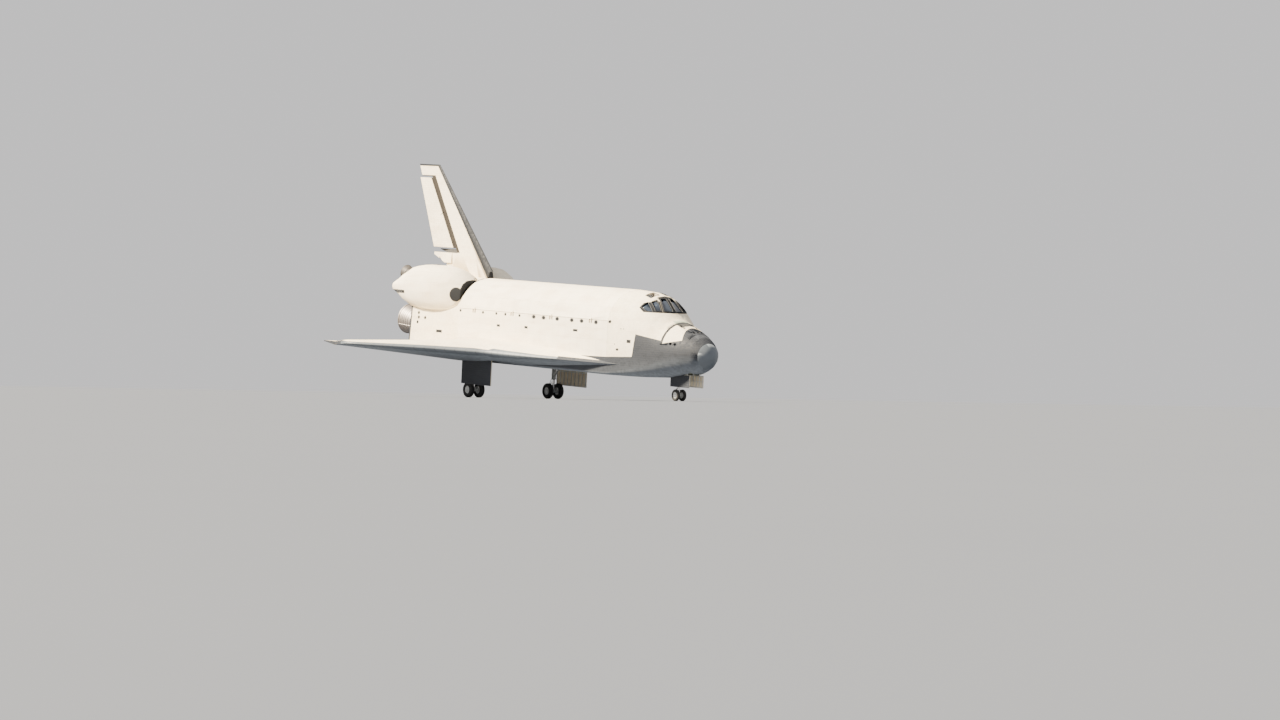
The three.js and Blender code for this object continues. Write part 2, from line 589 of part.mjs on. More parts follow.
// Columns: butt line, leading edge station and water line, nose radius, crest station, crest, belly, bulge
const WING = [
  [WING_ROOT_BL, 505, 298, 4, 1180, 338, 266.9, 0.95],
  [170, 917, 299, 4.5, 1190, 331, 269.5, 0.75],
  [189, 1008, 300, 5, 1195, 329, 271, 0.62],
  [210, 1044, 301, 5, 1205, 327, 273, 0.55],
  [312.5, 1149.3, 304, 4.5, 1260, 321, 283, 0.52],
  [450, 1286.8, 305, 3.4, 1345, 314, 296, 0.5],
  [463, 1306, 305.6, 2.6, 1352, 312, 298, 0.5],
  [WING_TIP_BL, 1330, 305.6, 1.6, 1362, 308.6, 301.6, 0.5],
];
const CHORD_SHARES = [0.015, 0.06, 0.16, 0.38, 0.68, 1];
function wingRing([bl, le, leWl, nose, crestSta, crest, belly, bulge]) {
  const shape = (share) => (1 - (1 - share) ** 1.7) ** bulge;
  const upper = CHORD_SHARES.map((s) => [
    mix(le, crestSta, s), Math.max(mix(leWl, crest, shape(s)), leWl + nose * Math.min(1, s * 20)),
  ]);
  const lower = CHORD_SHARES.map((s) => [
    mix(le, crestSta, s), Math.min(mix(leWl, belly, shape(s)), leWl - nose * Math.min(1, s * 20)),
  ]);
  const ring = [
    [le, leWl],
    ...upper,
    [ELEVON_STA, hingeWl(bl) + hingeR(bl)],
    [trailingSta(bl), trailingWl(bl) + TRAILING.half],
    [trailingSta(bl), trailingWl(bl) - TRAILING.half],
    [ELEVON_STA, hingeWl(bl) - hingeR(bl)],
    ...lower.reverse(),
  ];
  return ring.map(([sta, wl]) => at(sta, bl, wl));
}

// A ring square to the elevons' hinge line, from polar points about that line.
function hingeRing(bl, points) {
  return points.map(([aft, up]) => at(ELEVON_STA + aft, bl - up * HINGE_TILT, hingeWl(bl) + up));
}
const polarArc = (r, from, to, steps) =>
  Array.from({ length: steps + 1 }, (_, i) => {
    const a = rad(mix(from, to, i / steps));
    return [r * Math.cos(a), r * Math.sin(a)];
  });

// What is cut from a wing for its elevons: a hollow for the round nose and room to swing up and down.
function elevonSpace(bl) {
  const arc = polarArc(hingeR(bl) + RUN, 90 + ELEVON_UP_DEG, 270 - ELEVON_DOWN_DEG, 6);
  const [top, bottom] = [arc[0], arc.at(-1)];
  const reach = 70;
  const [up, down] = [rad(ELEVON_UP_DEG), rad(ELEVON_DOWN_DEG)];
  return hingeRing(bl, [
    [top[0] + reach * Math.cos(up), top[1] + reach * Math.sin(up)],
    ...arc,
    [bottom[0] + reach * Math.cos(down), bottom[1] - reach * Math.sin(down)],
    [150, bottom[1] - reach * Math.sin(down)],
    [150, top[1] + reach * Math.sin(up)],
  ]);
}
function elevonBody(bl) {
  const [aft, up] = [trailingSta(bl) - ELEVON_STA, trailingWl(bl) - hingeWl(bl)];
  return hingeRing(bl, [
    ...polarArc(hingeR(bl), 90, 270, 6), [aft, up - TRAILING.half], [aft, up + TRAILING.half],
  ]);
}

// A hinge lug that reaches back from a fixed structure to a hinge line, and the slot it needs.
const PIN_REACH = 3.2;
const LUG_EYE = 0.4;
function flapLug(sta, wl, r, bl, roots) {
  const eye = polarArc(r * LUG_EYE, -90, 90, 4).map(([aft, up]) => [sta + aft, wl + up]);
  return prismY([...roots, ...eye], bl - LUG_HALF, bl + LUG_HALF);
}
function flapSlot(sta, wl, r, bl) {
  const eye = r * LUG_EYE + 0.4;
  const outline = [
    [eye, eye], [-0.5 * r, 0.84 * r], [-1.3 * r, 0.84 * r],
    [-1.3 * r, -0.88 * r], [-0.5 * r, -0.88 * r], [eye, -eye],
  ];
  return prismY(outline.map(([aft, up]) => [sta + aft, wl + up]), bl - LUG_HALF - RUN, bl + LUG_HALF + RUN);
}
const hingeAt = (bl) => at(ELEVON_STA, bl, hingeWl(bl));

// Planform of the carbon leading edge, from the glove to the tip
const LEADING_EDGE = [
  [760, 240], [1000, 260], [1280, 520], [1352, 520], [1352, 468], [1326, 464], [1302, 450],
  [1165, 312.5], [1062, 210], [1030, 193], [1010, 180], [917, 162.5], [760, 135.3],
];
function leadingEdgeSpace(gap) {
  const front = LEADING_EDGE[0][0];
  const grown = LEADING_EDGE.map(([sta, bl], i) => {
    if (sta === front) return [sta - gap, bl - gap];
    return i < 5 ? [sta, bl] : [sta + gap, bl - gap];
  });
  return prismZ(grown, 240, 350);
}

function wingSolid() {
  const whole = loft(WING.map(wingRing));
  return cut(whole, outerNoseGrown, midOuterGrown, aftOuterGrown);
}
const outerNoseGrown = bodyLoft(BODY, SEAT);
const midOuterGrown = midOuter(SEAT);
const aftOuterGrown = aftOuter(SEAT);

const everyLug = [...ELEVON_LUGS.inboard, ...ELEVON_LUGS.outboard];
function wing(wholeWing) {
  const [inner] = ELEVON_SPANS.inboard;
  const space = loft([inner - RUN * 1.5, WING_TIP_BL + 12].map(elevonSpace));
  const { sta0, sta1, bl0, bl1, ceiling } = MAIN_WELL;
  const body = cut(wholeWing, space, block(sta0, sta1, bl0, bl1, 240, ceiling), leadingEdgeSpace(SEAT));
  const lugs = everyLug.flatMap((bl) => {
    const [r, wl] = [hingeR(bl), hingeWl(bl)];
    const root = ELEVON_STA - r - 3;
    return [
      flapLug(ELEVON_STA, wl, r, bl, [[root, wl + 0.35 * r], [root, wl - 0.35 * r]]),
      pin(hingeAt(bl - PIN_REACH), hingeAt(bl + PIN_REACH)),
    ];
  });
  return joined([body, ...lugs]);
}

function elevon(which) {
  const body = loft(ELEVON_SPANS[which].map(elevonBody));
  const cuts = ELEVON_LUGS[which].flatMap((bl) => [
    flapSlot(ELEVON_STA, hingeWl(bl), hingeR(bl), bl),
    pinBore(hingeAt(bl - PIN_REACH - 0.2), hingeAt(bl + PIN_REACH + 0.2)),
  ]);
  return cut(body, ...cuts);
}

function bodyFlap() {
  const { sta, wl, r, half, end, endWl, endHalf } = FLAP;
  const outline = [
    ...polarArc(r, 90, 270, 6).map(([aft, up]) => [sta + aft, wl + up]),
    [end, endWl - endHalf], [end, endWl + endHalf],
  ];
  const cuts = FLAP_LUGS.flatMap((bl) => [
    flapSlot(sta, wl, r, bl),
    pinBore(at(sta, bl - PIN_REACH - 0.2, wl), at(sta, bl + PIN_REACH + 0.2, wl)),
  ]);
  return cut(prismY(outline, -half, half), ...cuts);
}

// Fin and rudder

const finLe = (wl) => FIN.rootLe + (wl - FIN.rootWl);
const finTe = (wl) => FIN.rootTe + (wl - 503) * FIN_TE_SLOPE;
const finHalf = (wl) => mix(14.5, 5.4, (wl - FIN.rootWl) / (FIN.tipWl - FIN.rootWl));
const FIN_SHARES = [[0.012, 0.2], [0.06, 0.46], [0.16, 0.75], [0.28, 0.94], [0.42, 1]];
const FIN_TE_SHARE = 0.09;
function finRing(wl, grow = 0) {
  const [le, te, half] = [finLe(wl), finTe(wl), finHalf(wl)];
  const side = FIN_SHARES.map(([along, thick]) => [mix(le, te, along), half * thick + grow]);
  side.push([te, half * FIN_TE_SHARE + grow]);
  const right = side.map(([sta, bl]) => at(sta, -bl, wl)).reverse();
  return [at(le, 0, wl), ...side.map(([sta, bl]) => at(sta, bl, wl)), ...right];
}
const skinHalf = (sta, wl) => {
  const share = (sta - finLe(wl)) / (finTe(wl) - finLe(wl));
  return finHalf(wl) * mix(1, FIN_TE_SHARE, (share - 0.42) / 0.58);
};

const rudderAxis = at(...[RUDDER_HIGH[0], 0, RUDDER_HIGH[1]]).sub(at(RUDDER_LOW[0], 0, RUDDER_LOW[1]));
const RUDDER_LENGTH = rudderAxis.length() / INCH;
rudderAxis.normalize();
const onRudderAxis = (s) => at(RUDDER_LOW[0], 0, RUDDER_LOW[1]).addScaledVector(rudderAxis, s * INCH);
const rudderShare = (wl) => (wl - RUDDER_LOW[1]) / (RUDDER_HIGH[1] - RUDDER_LOW[1]);
const hingeStaAt = (wl) => mix(RUDDER_LOW[0], RUDDER_HIGH[0], rudderShare(wl));
const noseR = (wl) => skinHalf(hingeStaAt(wl), wl);
const RUDDER_LUGS = [RUDDER_LENGTH / 2];
const KNUCKLES = { left: [12, 50], right: [56, 94] }; // along each half of the hinge line
const bays = [0, RUDDER_LENGTH / 2];

function rudderDisc(s, half, r, sides = 10) {
  return bar(onRudderAxis(s - half), onRudderAxis(s + half), r, r, sides);
}

function verticalFin() {
  const whole = loft([FIN.rootWl - 14, FIN.footWl, RUDDER_TIP_WL, FIN.tipWl].map((wl) => finRing(wl)));
  // Room for the rudder: from ahead of its hinge line, back past the trailing edge.
  const room = [FIN.footWl, RUDDER_TIP_WL].map((wl) => {
    const front = hingeStaAt(wl) - (noseR(wl) + 1.2) / rudderAxis.z;
    return [at(front, -40, wl), at(front, 40, wl), at(1800, 40, wl), at(1800, -40, wl)];
  });
  // The fairing behind the foot: its lower edge slopes up and aft from the roof.
  const { sta, wl, half, endSta, endWl, endHalf } = FIN_FAIRING;
  const fairing = loft([[sta, half], [endSta, endHalf]].map(([station, y]) => [
    [station, -y, wl], [station, y, wl], [station, y * 0.8, FIN.footWl], [station, -y * 0.8, FIN.footWl],
  ].map((corner) => at(...corner))));
  const below = prismY([[FIN_FAIRING.lowSta, wl - 1], [endSta + 1, endWl], [endSta + 9, wl - 1]], -40, 40);
  const behind = block(FIN_FAIRING.lowSta, 1700, -40, 40, 440, FIN.footWl + 1);
  const foot = cut(whole, loft(room), behind).add(cut(fairing, below));
  const body = cut(foot, aftOuterGrown, bayFinClear, behindBase, upperSweep);
  const lugs = RUDDER_LUGS.map((s) => {
    const middle = onRudderAxis(s);
    const wl = middle.z / INCH + GROUND_WL;
    const ahead = new THREE.Vector3(rudderAxis.z, 0, -rudderAxis.x);
    const across = new THREE.Vector3(0, 1, 0);
    const reach = noseR(wl) + 5;
    const corner = (forward, side, along) =>
      middle.clone().addScaledVector(ahead, forward * INCH).addScaledVector(across, side * INCH)
        .addScaledVector(rudderAxis, along * INCH);
    const tab = (along) => [
      corner(0, -2.6, along), corner(reach, -2.6, along), corner(reach, 2.6, along), corner(0, 2.6, along),
    ];
    return loft([tab(-LUG_HALF), tab(LUG_HALF)]).add(rudderDisc(s, LUG_HALF, KNUCKLE_R));
  });
  const bearing = bore(onRudderAxis(-27.6), onRudderAxis(RUDDER_LENGTH + 12.3), SHAFT_R);
  return joined([body, ...lugs]).subtract(bearing);
}
const behindBase = block(BASE_STA - 1, 1600, -60, 60, 440, AFT_BODY.at(-1).at(-1) + 0.2);
const bayFinClear = block(1200, BAY_AFT + SEAT, -60, 60, 470, 520);

const rudderShaft = () => shaft(onRudderAxis(-27), onRudderAxis(RUDDER_LENGTH + 11.8), SHAFT_R);

// Half of the rudder, closed: a wedge behind the hinge line with a rounded nose and its own knuckles.
function rudderHalf(side) {
  const own = side > 0 ? KNUCKLES.left : KNUCKLES.right;
  const other = side > 0 ? KNUCKLES.right : KNUCKLES.left;
  const middleGap = RUN / 2;
  const ring = (wl) => {
    const [sta, r] = [hingeStaAt(wl), noseR(wl)];
    const lean = rudderAxis.z; // chordwise shrink from square-to-axis to level
    const nose = [40, 20, 0].map((a) => [sta - (r * Math.sin(rad(a))) / lean, r * Math.cos(rad(a))]);
    const inner = [[sta - 0.2 * r, 0.35 * r], [sta, middleGap], [finTe(wl), middleGap]];
    return [...nose, [finTe(wl), finHalf(wl) * FIN_TE_SHARE], ...inner.reverse()]
      .map(([x, y]) => at(x, side * y, wl));
  };
  const shell = loft([RUDDER_LOW[1], RUDDER_HIGH[1]].map(ring));
  const [ownMiddle, ownHalf] = [(own[0] + own[1]) / 2, (own[1] - own[0]) / 2];
  const [otherMiddle, otherHalf] = [(other[0] + other[1]) / 2, (other[1] - other[0]) / 2];
  const clearances = [
    ...bays.map((s) => rudderDisc(s + otherMiddle, otherHalf + RUN, KNUCKLE_R + RUN)),
    ...RUDDER_LUGS.map((s) => rudderDisc(s, LUG_HALF + RUN, 14)),
  ];
  const knuckles = bays.map((s) => rudderDisc(s + ownMiddle, ownHalf, KNUCKLE_R));
  const turn = side * rad(RUDDER_OPEN_DEG);
  const hole = bore(onRudderAxis(-40), onRudderAxis(RUDDER_LENGTH + 30), SHAFT_R, turn);
  return cut(joined([cut(shell, ...clearances), ...knuckles]), hole);
}

// Pods of the manoeuvring engines

// Columns: station, butt line, water line, half width, half height
const POD = [
  [1311, 57, 440, 45, 52],
  [1330, 62, 449, 51, 58],
  [1362, 69, 457, 57, 64],
  [1398, 75, 461, 61, 69],
  [1440, 80, 462, 65, 68],
  [1483, 86, 463, 62, 67],
  [1512, 90, 464, 58, 64],
  [1534, 95, 464, 54, 58],
  [1556, 101, 463, 49, 45],
  [1574, 107, 463, 43, 29],
  [1590, 115, 463, 35, 18],
];
const POD_POINTS = 16;
const POD_SQUARE = 0.86; // under 1 makes the section squarer than an ellipse
function podRing([sta, bl, wl, half, high]) {
  return Array.from({ length: POD_POINTS }, (_, k) => {
    const a = (2 * Math.PI * k) / POD_POINTS;
    const [c, s] = [Math.cos(a), Math.sin(a)];
    const rounded = (v) => Math.sign(v) * Math.abs(v) ** POD_SQUARE;
    return at(sta, bl + half * rounded(c), wl + high * rounded(s));
  });
}
const OMS = { sta: 1562, bl: 88, wl: 492, pitch: 15, toe: 6.5, length: 50, r: 21.8, neck: 6 };
const omsAxis = engineAxis(OMS);
function omsPod() {
  const pod = loft(POD.map(podRing));
  const along = (d) => at(OMS.sta, OMS.bl, OMS.wl).addScaledVector(omsAxis, d * INCH);
  const seat = bar(along(-24 - SEAT), along(-8), 7 + 2 * SEAT, 7 + 2 * SEAT, 16);
  const socket = bar(along(-9), along(46), 14, 24.5, 16);
  return cut(
    pod, aftOuterGrown, bayFinClearWide, finRoom, shieldRoom, seat, socket, upperSweep,
  );
}
const bayFinClearWide = block(1200, BAY_AFT + DOOR_END_GAP, -200, 200, 300, 560);
const finRoom = loft([FIN.rootWl - 14, FIN.footWl].map((wl) => finRing(wl, SEAT)));
const shieldRoom = bodyLoft(
  [BASE_STA - 1, BASE_STA + PLATE.thick + SEAT].map((sta) => [sta, ...AFT_BODY.at(-1).slice(1)]),
);

function omsNozzle() {
  const { sta, bl, wl, length, r, neck } = OMS;
  const profile = [
    [-24, 0], [-24, 7], [-8, 7], [0, neck], [12, 12.4], [28, 18], [length - 4, r], [length - 4, r - 1],
    [28, 16.9], [12, 11], [2, 4], [0, 0],
  ];
  return turned(profile, at(sta, bl, wl), omsAxis, 16);
}

// Landing gear

const axleWl = (gear) => groundWl(gear.sta) + gear.r / Math.cos(rad(NOSE_DOWN_DEG));
function tyre(gear, bl) {
  const { r, halfWidth: w, rim, sta } = gear;
  const profile = [
    [-w * 0.6, rim], [-w, mix(rim, r, 0.5)], [-w * 0.6, r],
    [w * 0.6, r], [w, mix(rim, r, 0.5)], [w * 0.6, rim],
  ];
  const closed = [...profile, profile[0]];
  return turned(closed, at(sta, bl, axleWl(gear)), new THREE.Vector3(0, 1, 0), WHEEL_SIDES);
}
function hubPair(gear, bl, axleR) {
  const { sta, spread, rim, halfWidth: w } = gear;
  const wl = axleWl(gear);
  const hubR = rim - SEAT;
  const hub = (centre) =>
    bar(at(sta, centre - w * 0.5, wl), at(sta, centre + w * 0.5, wl), hubR, hubR, WHEEL_SIDES);
  const reach = spread + w * 0.62;
  const axle = shaft(at(sta, bl - reach, wl), at(sta, bl + reach, wl), axleR);
  const caps = [-1, 1].map((side) => {
    const [from, to] = [reach - 2, reach + 1].map((out) => at(sta, bl + side * out, wl));
    return bar(from, to, axleR + 1.6, axleR + 1, PIN_SIDES);
  });
  return joined([hub(bl - spread), hub(bl + spread), axle, ...caps]);
}

const PISTON_R = 2.6;
function noseStrut() {
  const { sta } = NOSE_GEAR;
  const cylinder = bar(at(sta, 0, 250), at(sta, 0, 314), 4.4, 4.4, 16);
  const trunnion = bar(at(sta, -NOSE_WELL.half + SEAT, 306), at(sta, NOSE_WELL.half - SEAT, 306), 2.4);
  const brace = bar(at(sta, 0, 258), at(325, 0, 309), 2.2);
  const cross = bar(at(325, -NOSE_WELL.half + SEAT, 309), at(325, NOSE_WELL.half - SEAT, 309), 2);
  const hole = bore(at(sta, 0, 240), at(sta, 0, 292), PISTON_R);
  return joined([cylinder, trunnion, brace, cross]).subtract(hole);
}
function noseKnuckle() {
  const { sta } = NOSE_GEAR;
  const wl = axleWl(NOSE_GEAR);
  const piston = shaft(at(sta, 0, wl), at(sta, 0, 291), PISTON_R);
  const housing = bar(at(sta, -4.4, wl), at(sta, 4.4, wl), 3.2);
  const collar = bar(at(sta, 0, 246.5), at(sta, 0, 250 - RUN), 4.2, 4.2, 16);
  const links = prismY([[sta, 234], [sta + 12, 238.5], [sta + 2, 248], [sta, 246]], -1.5, 1.5);
  const hole = bore(at(sta, -8, wl), at(sta, 8, wl), NOSE_AXLE_R);
  return joined([piston, housing, collar, links]).subtract(hole);
}
const NOSE_AXLE_R = 1.7;
const MAIN_AXLE_R = 2.8;
function mainStrut(side) {
  const { sta, bl } = MAIN_GEAR;
  const wl = axleWl(MAIN_GEAR);
  const y = side * bl;
  const cylinder = bar(at(sta, y, 222), at(sta, y, MAIN_WELL.ceiling - SEAT), 6.2, 6.2, 16);
  const piston = bar(at(sta, y, wl), at(sta, y, 226), 4, 4, 16);
  const housing = bar(at(sta, y - 7, wl), at(sta, y + 7, wl), 5);
  const brace = bar(at(sta, y, 230), at(1086, y, 308), 3);
  const inner = side * (MAIN_WELL.bl0 + SEAT);
  const outer = side * (MAIN_WELL.bl1 - SEAT);
  const trunnion = bar(at(sta, inner, 302), at(sta, outer, 302), 3.4);
  const cross = bar(at(1086, inner, 308), at(1086, outer, 308), 2.6);
  const links = prismY([[sta, 194], [sta + 15, 203], [sta + 5, 224], [sta, 222]], y - 2, y + 2);
  const hole = bore(at(sta, y - 9, wl), at(sta, y + 9, wl), MAIN_AXLE_R);
  return joined([cylinder, piston, housing, brace, trunnion, cross, links]).subtract(hole);
}

function gearDoor(sta0, sta1, bl, thick, top, bottom, side) {
  const outer = bl - SEAT;
  return block(sta0, sta1, ...[side * outer, side * (outer - thick)].sort((a, b) => a - b), bottom, top);
}

// Assembly

const PAINT = {
  tile: { color: "#efe9dc", roughness: 0.85, metalness: 0 },
  blanket: { color: "#f3eee2", roughness: 0.9, metalness: 0 },
  black: { color: "#3c4045", roughness: 0.7, metalness: 0 },
  carbon: { color: "#77787a", roughness: 0.6, metalness: 0 },
  glass: { color: "#1c2430", roughness: 0.08, metalness: 0 },
  metal: { color: "#b4b6b8", roughness: 0.4, metalness: 0.8 },
  bell: { color: "#6f6458", roughness: 0.5, metalness: 0.6 },
  radiator: { color: "#d8dde2", roughness: 0.25, metalness: 0.7 },
  tyre: { color: "#232425", roughness: 0.9, metalness: 0 },
  strut: { color: "#c8cac8", roughness: 0.4, metalness: 0.6 },
  inside: { color: "#8b8f8c", roughness: 0.8, metalness: 0 },
};
const shuttle = new THREE.Group();
shuttle.rotation.y = rad(NOSE_DOWN_DEG);

function place(name, solid, paint, parent = shuttle) {
  const mesh = new THREE.Mesh(geometryOf(solid), new THREE.MeshStandardMaterial(PAINT[paint]));
  mesh.name = name;
  parent.add(mesh);
  return mesh;
}
const otherSide = new THREE.Group();
otherSide.scale.y = -1;
shuttle.add(otherSide);
const SIDES = [["left", 1, shuttle], ["right", -1, otherSide]];

place("nose_cap", outerNose.intersect(prismY(capOutline(0), -120, 120)), "carbon");
place("forward_thruster_module", cut(outerNose.intersect(modulePrism(0)), ...thrusterPorts()), "tile");
place("forward_fuselage", forwardFuselage(), "tile");
place("window_panes", windowPanes(), "glass");
place("cabin_aft_bulkhead", aftBulkhead(), "inside");
place("flight_deck", flightDeck(), "inside");
place("crew_hatch", crewHatch(), "tile");
place("mid_fuselage", midFuselage(), "blanket");
place("aft_fuselage", aftFuselage(), "tile");
place("base_heat_shield", baseShield(), "black");
place("vertical_fin", verticalFin(), "tile");
place("rudder_shaft", rudderShaft(), "metal");
place("body_flap", bodyFlap(), "black");
for (const engine of ENGINES) place(engine.name, mainEngine(engine), "bell");
const halfWing = wingSolid();
for (const [name, side, parent] of SIDES) {
  place(`crew_seat_${name}`, crewSeat(side * 28), "inside");
  place(`payload_door_${name}`, payloadDoor(side), "blanket");
  place(`radiator_${name}`, radiator(side), "radiator");
  place(`wing_${name}`, wing(halfWing), "tile", parent);
  place(`wing_leading_edge_${name}`, halfWing.intersect(leadingEdgeSpace(0)), "carbon", parent);
  place(`elevon_inboard_${name}`, elevon("inboard"), "tile", parent);
  place(`elevon_outboard_${name}`, elevon("outboard"), "tile", parent);
  place(`oms_pod_${name}`, omsPod(), "blanket", parent);
  place(`oms_nozzle_${name}`, omsNozzle(), "bell", parent);
  const half = place(`rudder_${name}`, rudderHalf(side), "tile");
  turnAbout(half, onRudderAxis(0), rudderAxis, side * RUDDER_OPEN_DEG);
  place(`nose_tyre_${name}`, tyre(NOSE_GEAR, side * NOSE_GEAR.spread), "tyre");
  place(`nose_gear_door_${name}`, gearDoor(302, 388, NOSE_WELL.half, 1.6, 282, 248, side), "tile");
  place(`main_gear_strut_${name}`, mainStrut(side), "strut");
  place(`main_gear_hubs_${name}`, hubPair(MAIN_GEAR, side * MAIN_GEAR.bl, MAIN_AXLE_R), "strut");
  for (const [where, offset] of [["inner", -1], ["outer", 1]]) {
    const bl = side * (MAIN_GEAR.bl + offset * MAIN_GEAR.spread);
    place(`main_tyre_${where}_${name}`, tyre(MAIN_GEAR, bl), "tyre");
  }
  place(`main_gear_door_${name}`, gearDoor(1042, 1189, MAIN_WELL.bl1, 2, 286, 206, side), "tile");
}
place("nose_gear_strut", noseStrut(), "strut");
place("nose_gear_steering", noseKnuckle(), "strut");
place("nose_gear_hubs", hubPair(NOSE_GEAR, 0, NOSE_AXLE_R), "strut");

// Turn a mesh about a line by an angle in degrees.
function turnAbout(mesh, point, axis, degrees) {
  mesh.quaternion.setFromAxisAngle(axis, rad(-degrees));
  mesh.position.copy(point).sub(point.clone().applyQuaternion(mesh.quaternion));
}

export default shuttle;
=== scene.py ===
"""A winged space shuttle orbiter on its landing gear, dressed around the frame of its CAD part."""
import json
from math import asin, cos, pi, radians, sin, tan

import bmesh
import bpy
from mathutils import Matrix, Vector
from mathutils.bvhtree import BVHTree

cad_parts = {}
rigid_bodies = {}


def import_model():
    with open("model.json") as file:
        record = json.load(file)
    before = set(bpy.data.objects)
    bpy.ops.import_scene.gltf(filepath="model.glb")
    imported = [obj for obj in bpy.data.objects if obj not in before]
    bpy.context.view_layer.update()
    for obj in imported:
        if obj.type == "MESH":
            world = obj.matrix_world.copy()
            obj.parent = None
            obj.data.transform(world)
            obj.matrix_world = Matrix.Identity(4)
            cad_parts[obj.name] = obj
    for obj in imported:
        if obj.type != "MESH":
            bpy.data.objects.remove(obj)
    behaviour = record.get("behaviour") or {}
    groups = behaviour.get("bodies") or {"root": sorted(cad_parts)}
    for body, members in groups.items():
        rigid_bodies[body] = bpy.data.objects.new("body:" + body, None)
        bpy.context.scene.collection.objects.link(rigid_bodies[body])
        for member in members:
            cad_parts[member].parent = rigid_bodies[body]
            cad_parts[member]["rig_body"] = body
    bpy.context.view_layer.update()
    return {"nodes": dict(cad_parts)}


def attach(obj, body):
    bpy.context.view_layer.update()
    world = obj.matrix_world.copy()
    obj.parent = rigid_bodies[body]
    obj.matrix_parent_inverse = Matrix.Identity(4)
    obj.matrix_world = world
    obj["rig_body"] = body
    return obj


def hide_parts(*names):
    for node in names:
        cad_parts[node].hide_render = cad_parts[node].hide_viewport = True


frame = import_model()
nodes = frame["nodes"]

# Places are given in the airframe's stations, in inches: station (aft), butt line (left), water line (up).
INCH = 0.0254
NOSE_DOWN = radians(3.05)
COS, SIN = cos(NOSE_DOWN), sin(NOSE_DOWN)
STANCE = Matrix.Rotation(NOSE_DOWN, 4, "Y")
MID_STATION, GROUND_WL = 947, 178.5


def at(sta, bl, wl):
    """A place of the airframe in metres, in the frame's axes."""
    return STANCE @ Vector(((MID_STATION - sta) * INCH, bl * INCH, (wl - GROUND_WL) * INCH))


def direction(aft, left, up):
    """A unit vector given by its parts aft, to the left and up."""
    return (STANCE @ Vector((-aft, left, up))).normalized()


def mix(a, b, share):
    return a + (b - a) * share


def add_object(name, data):
    thing = bpy.data.objects.new(name, data)
    bpy.context.scene.collection.objects.link(thing)
    return thing


# Materials

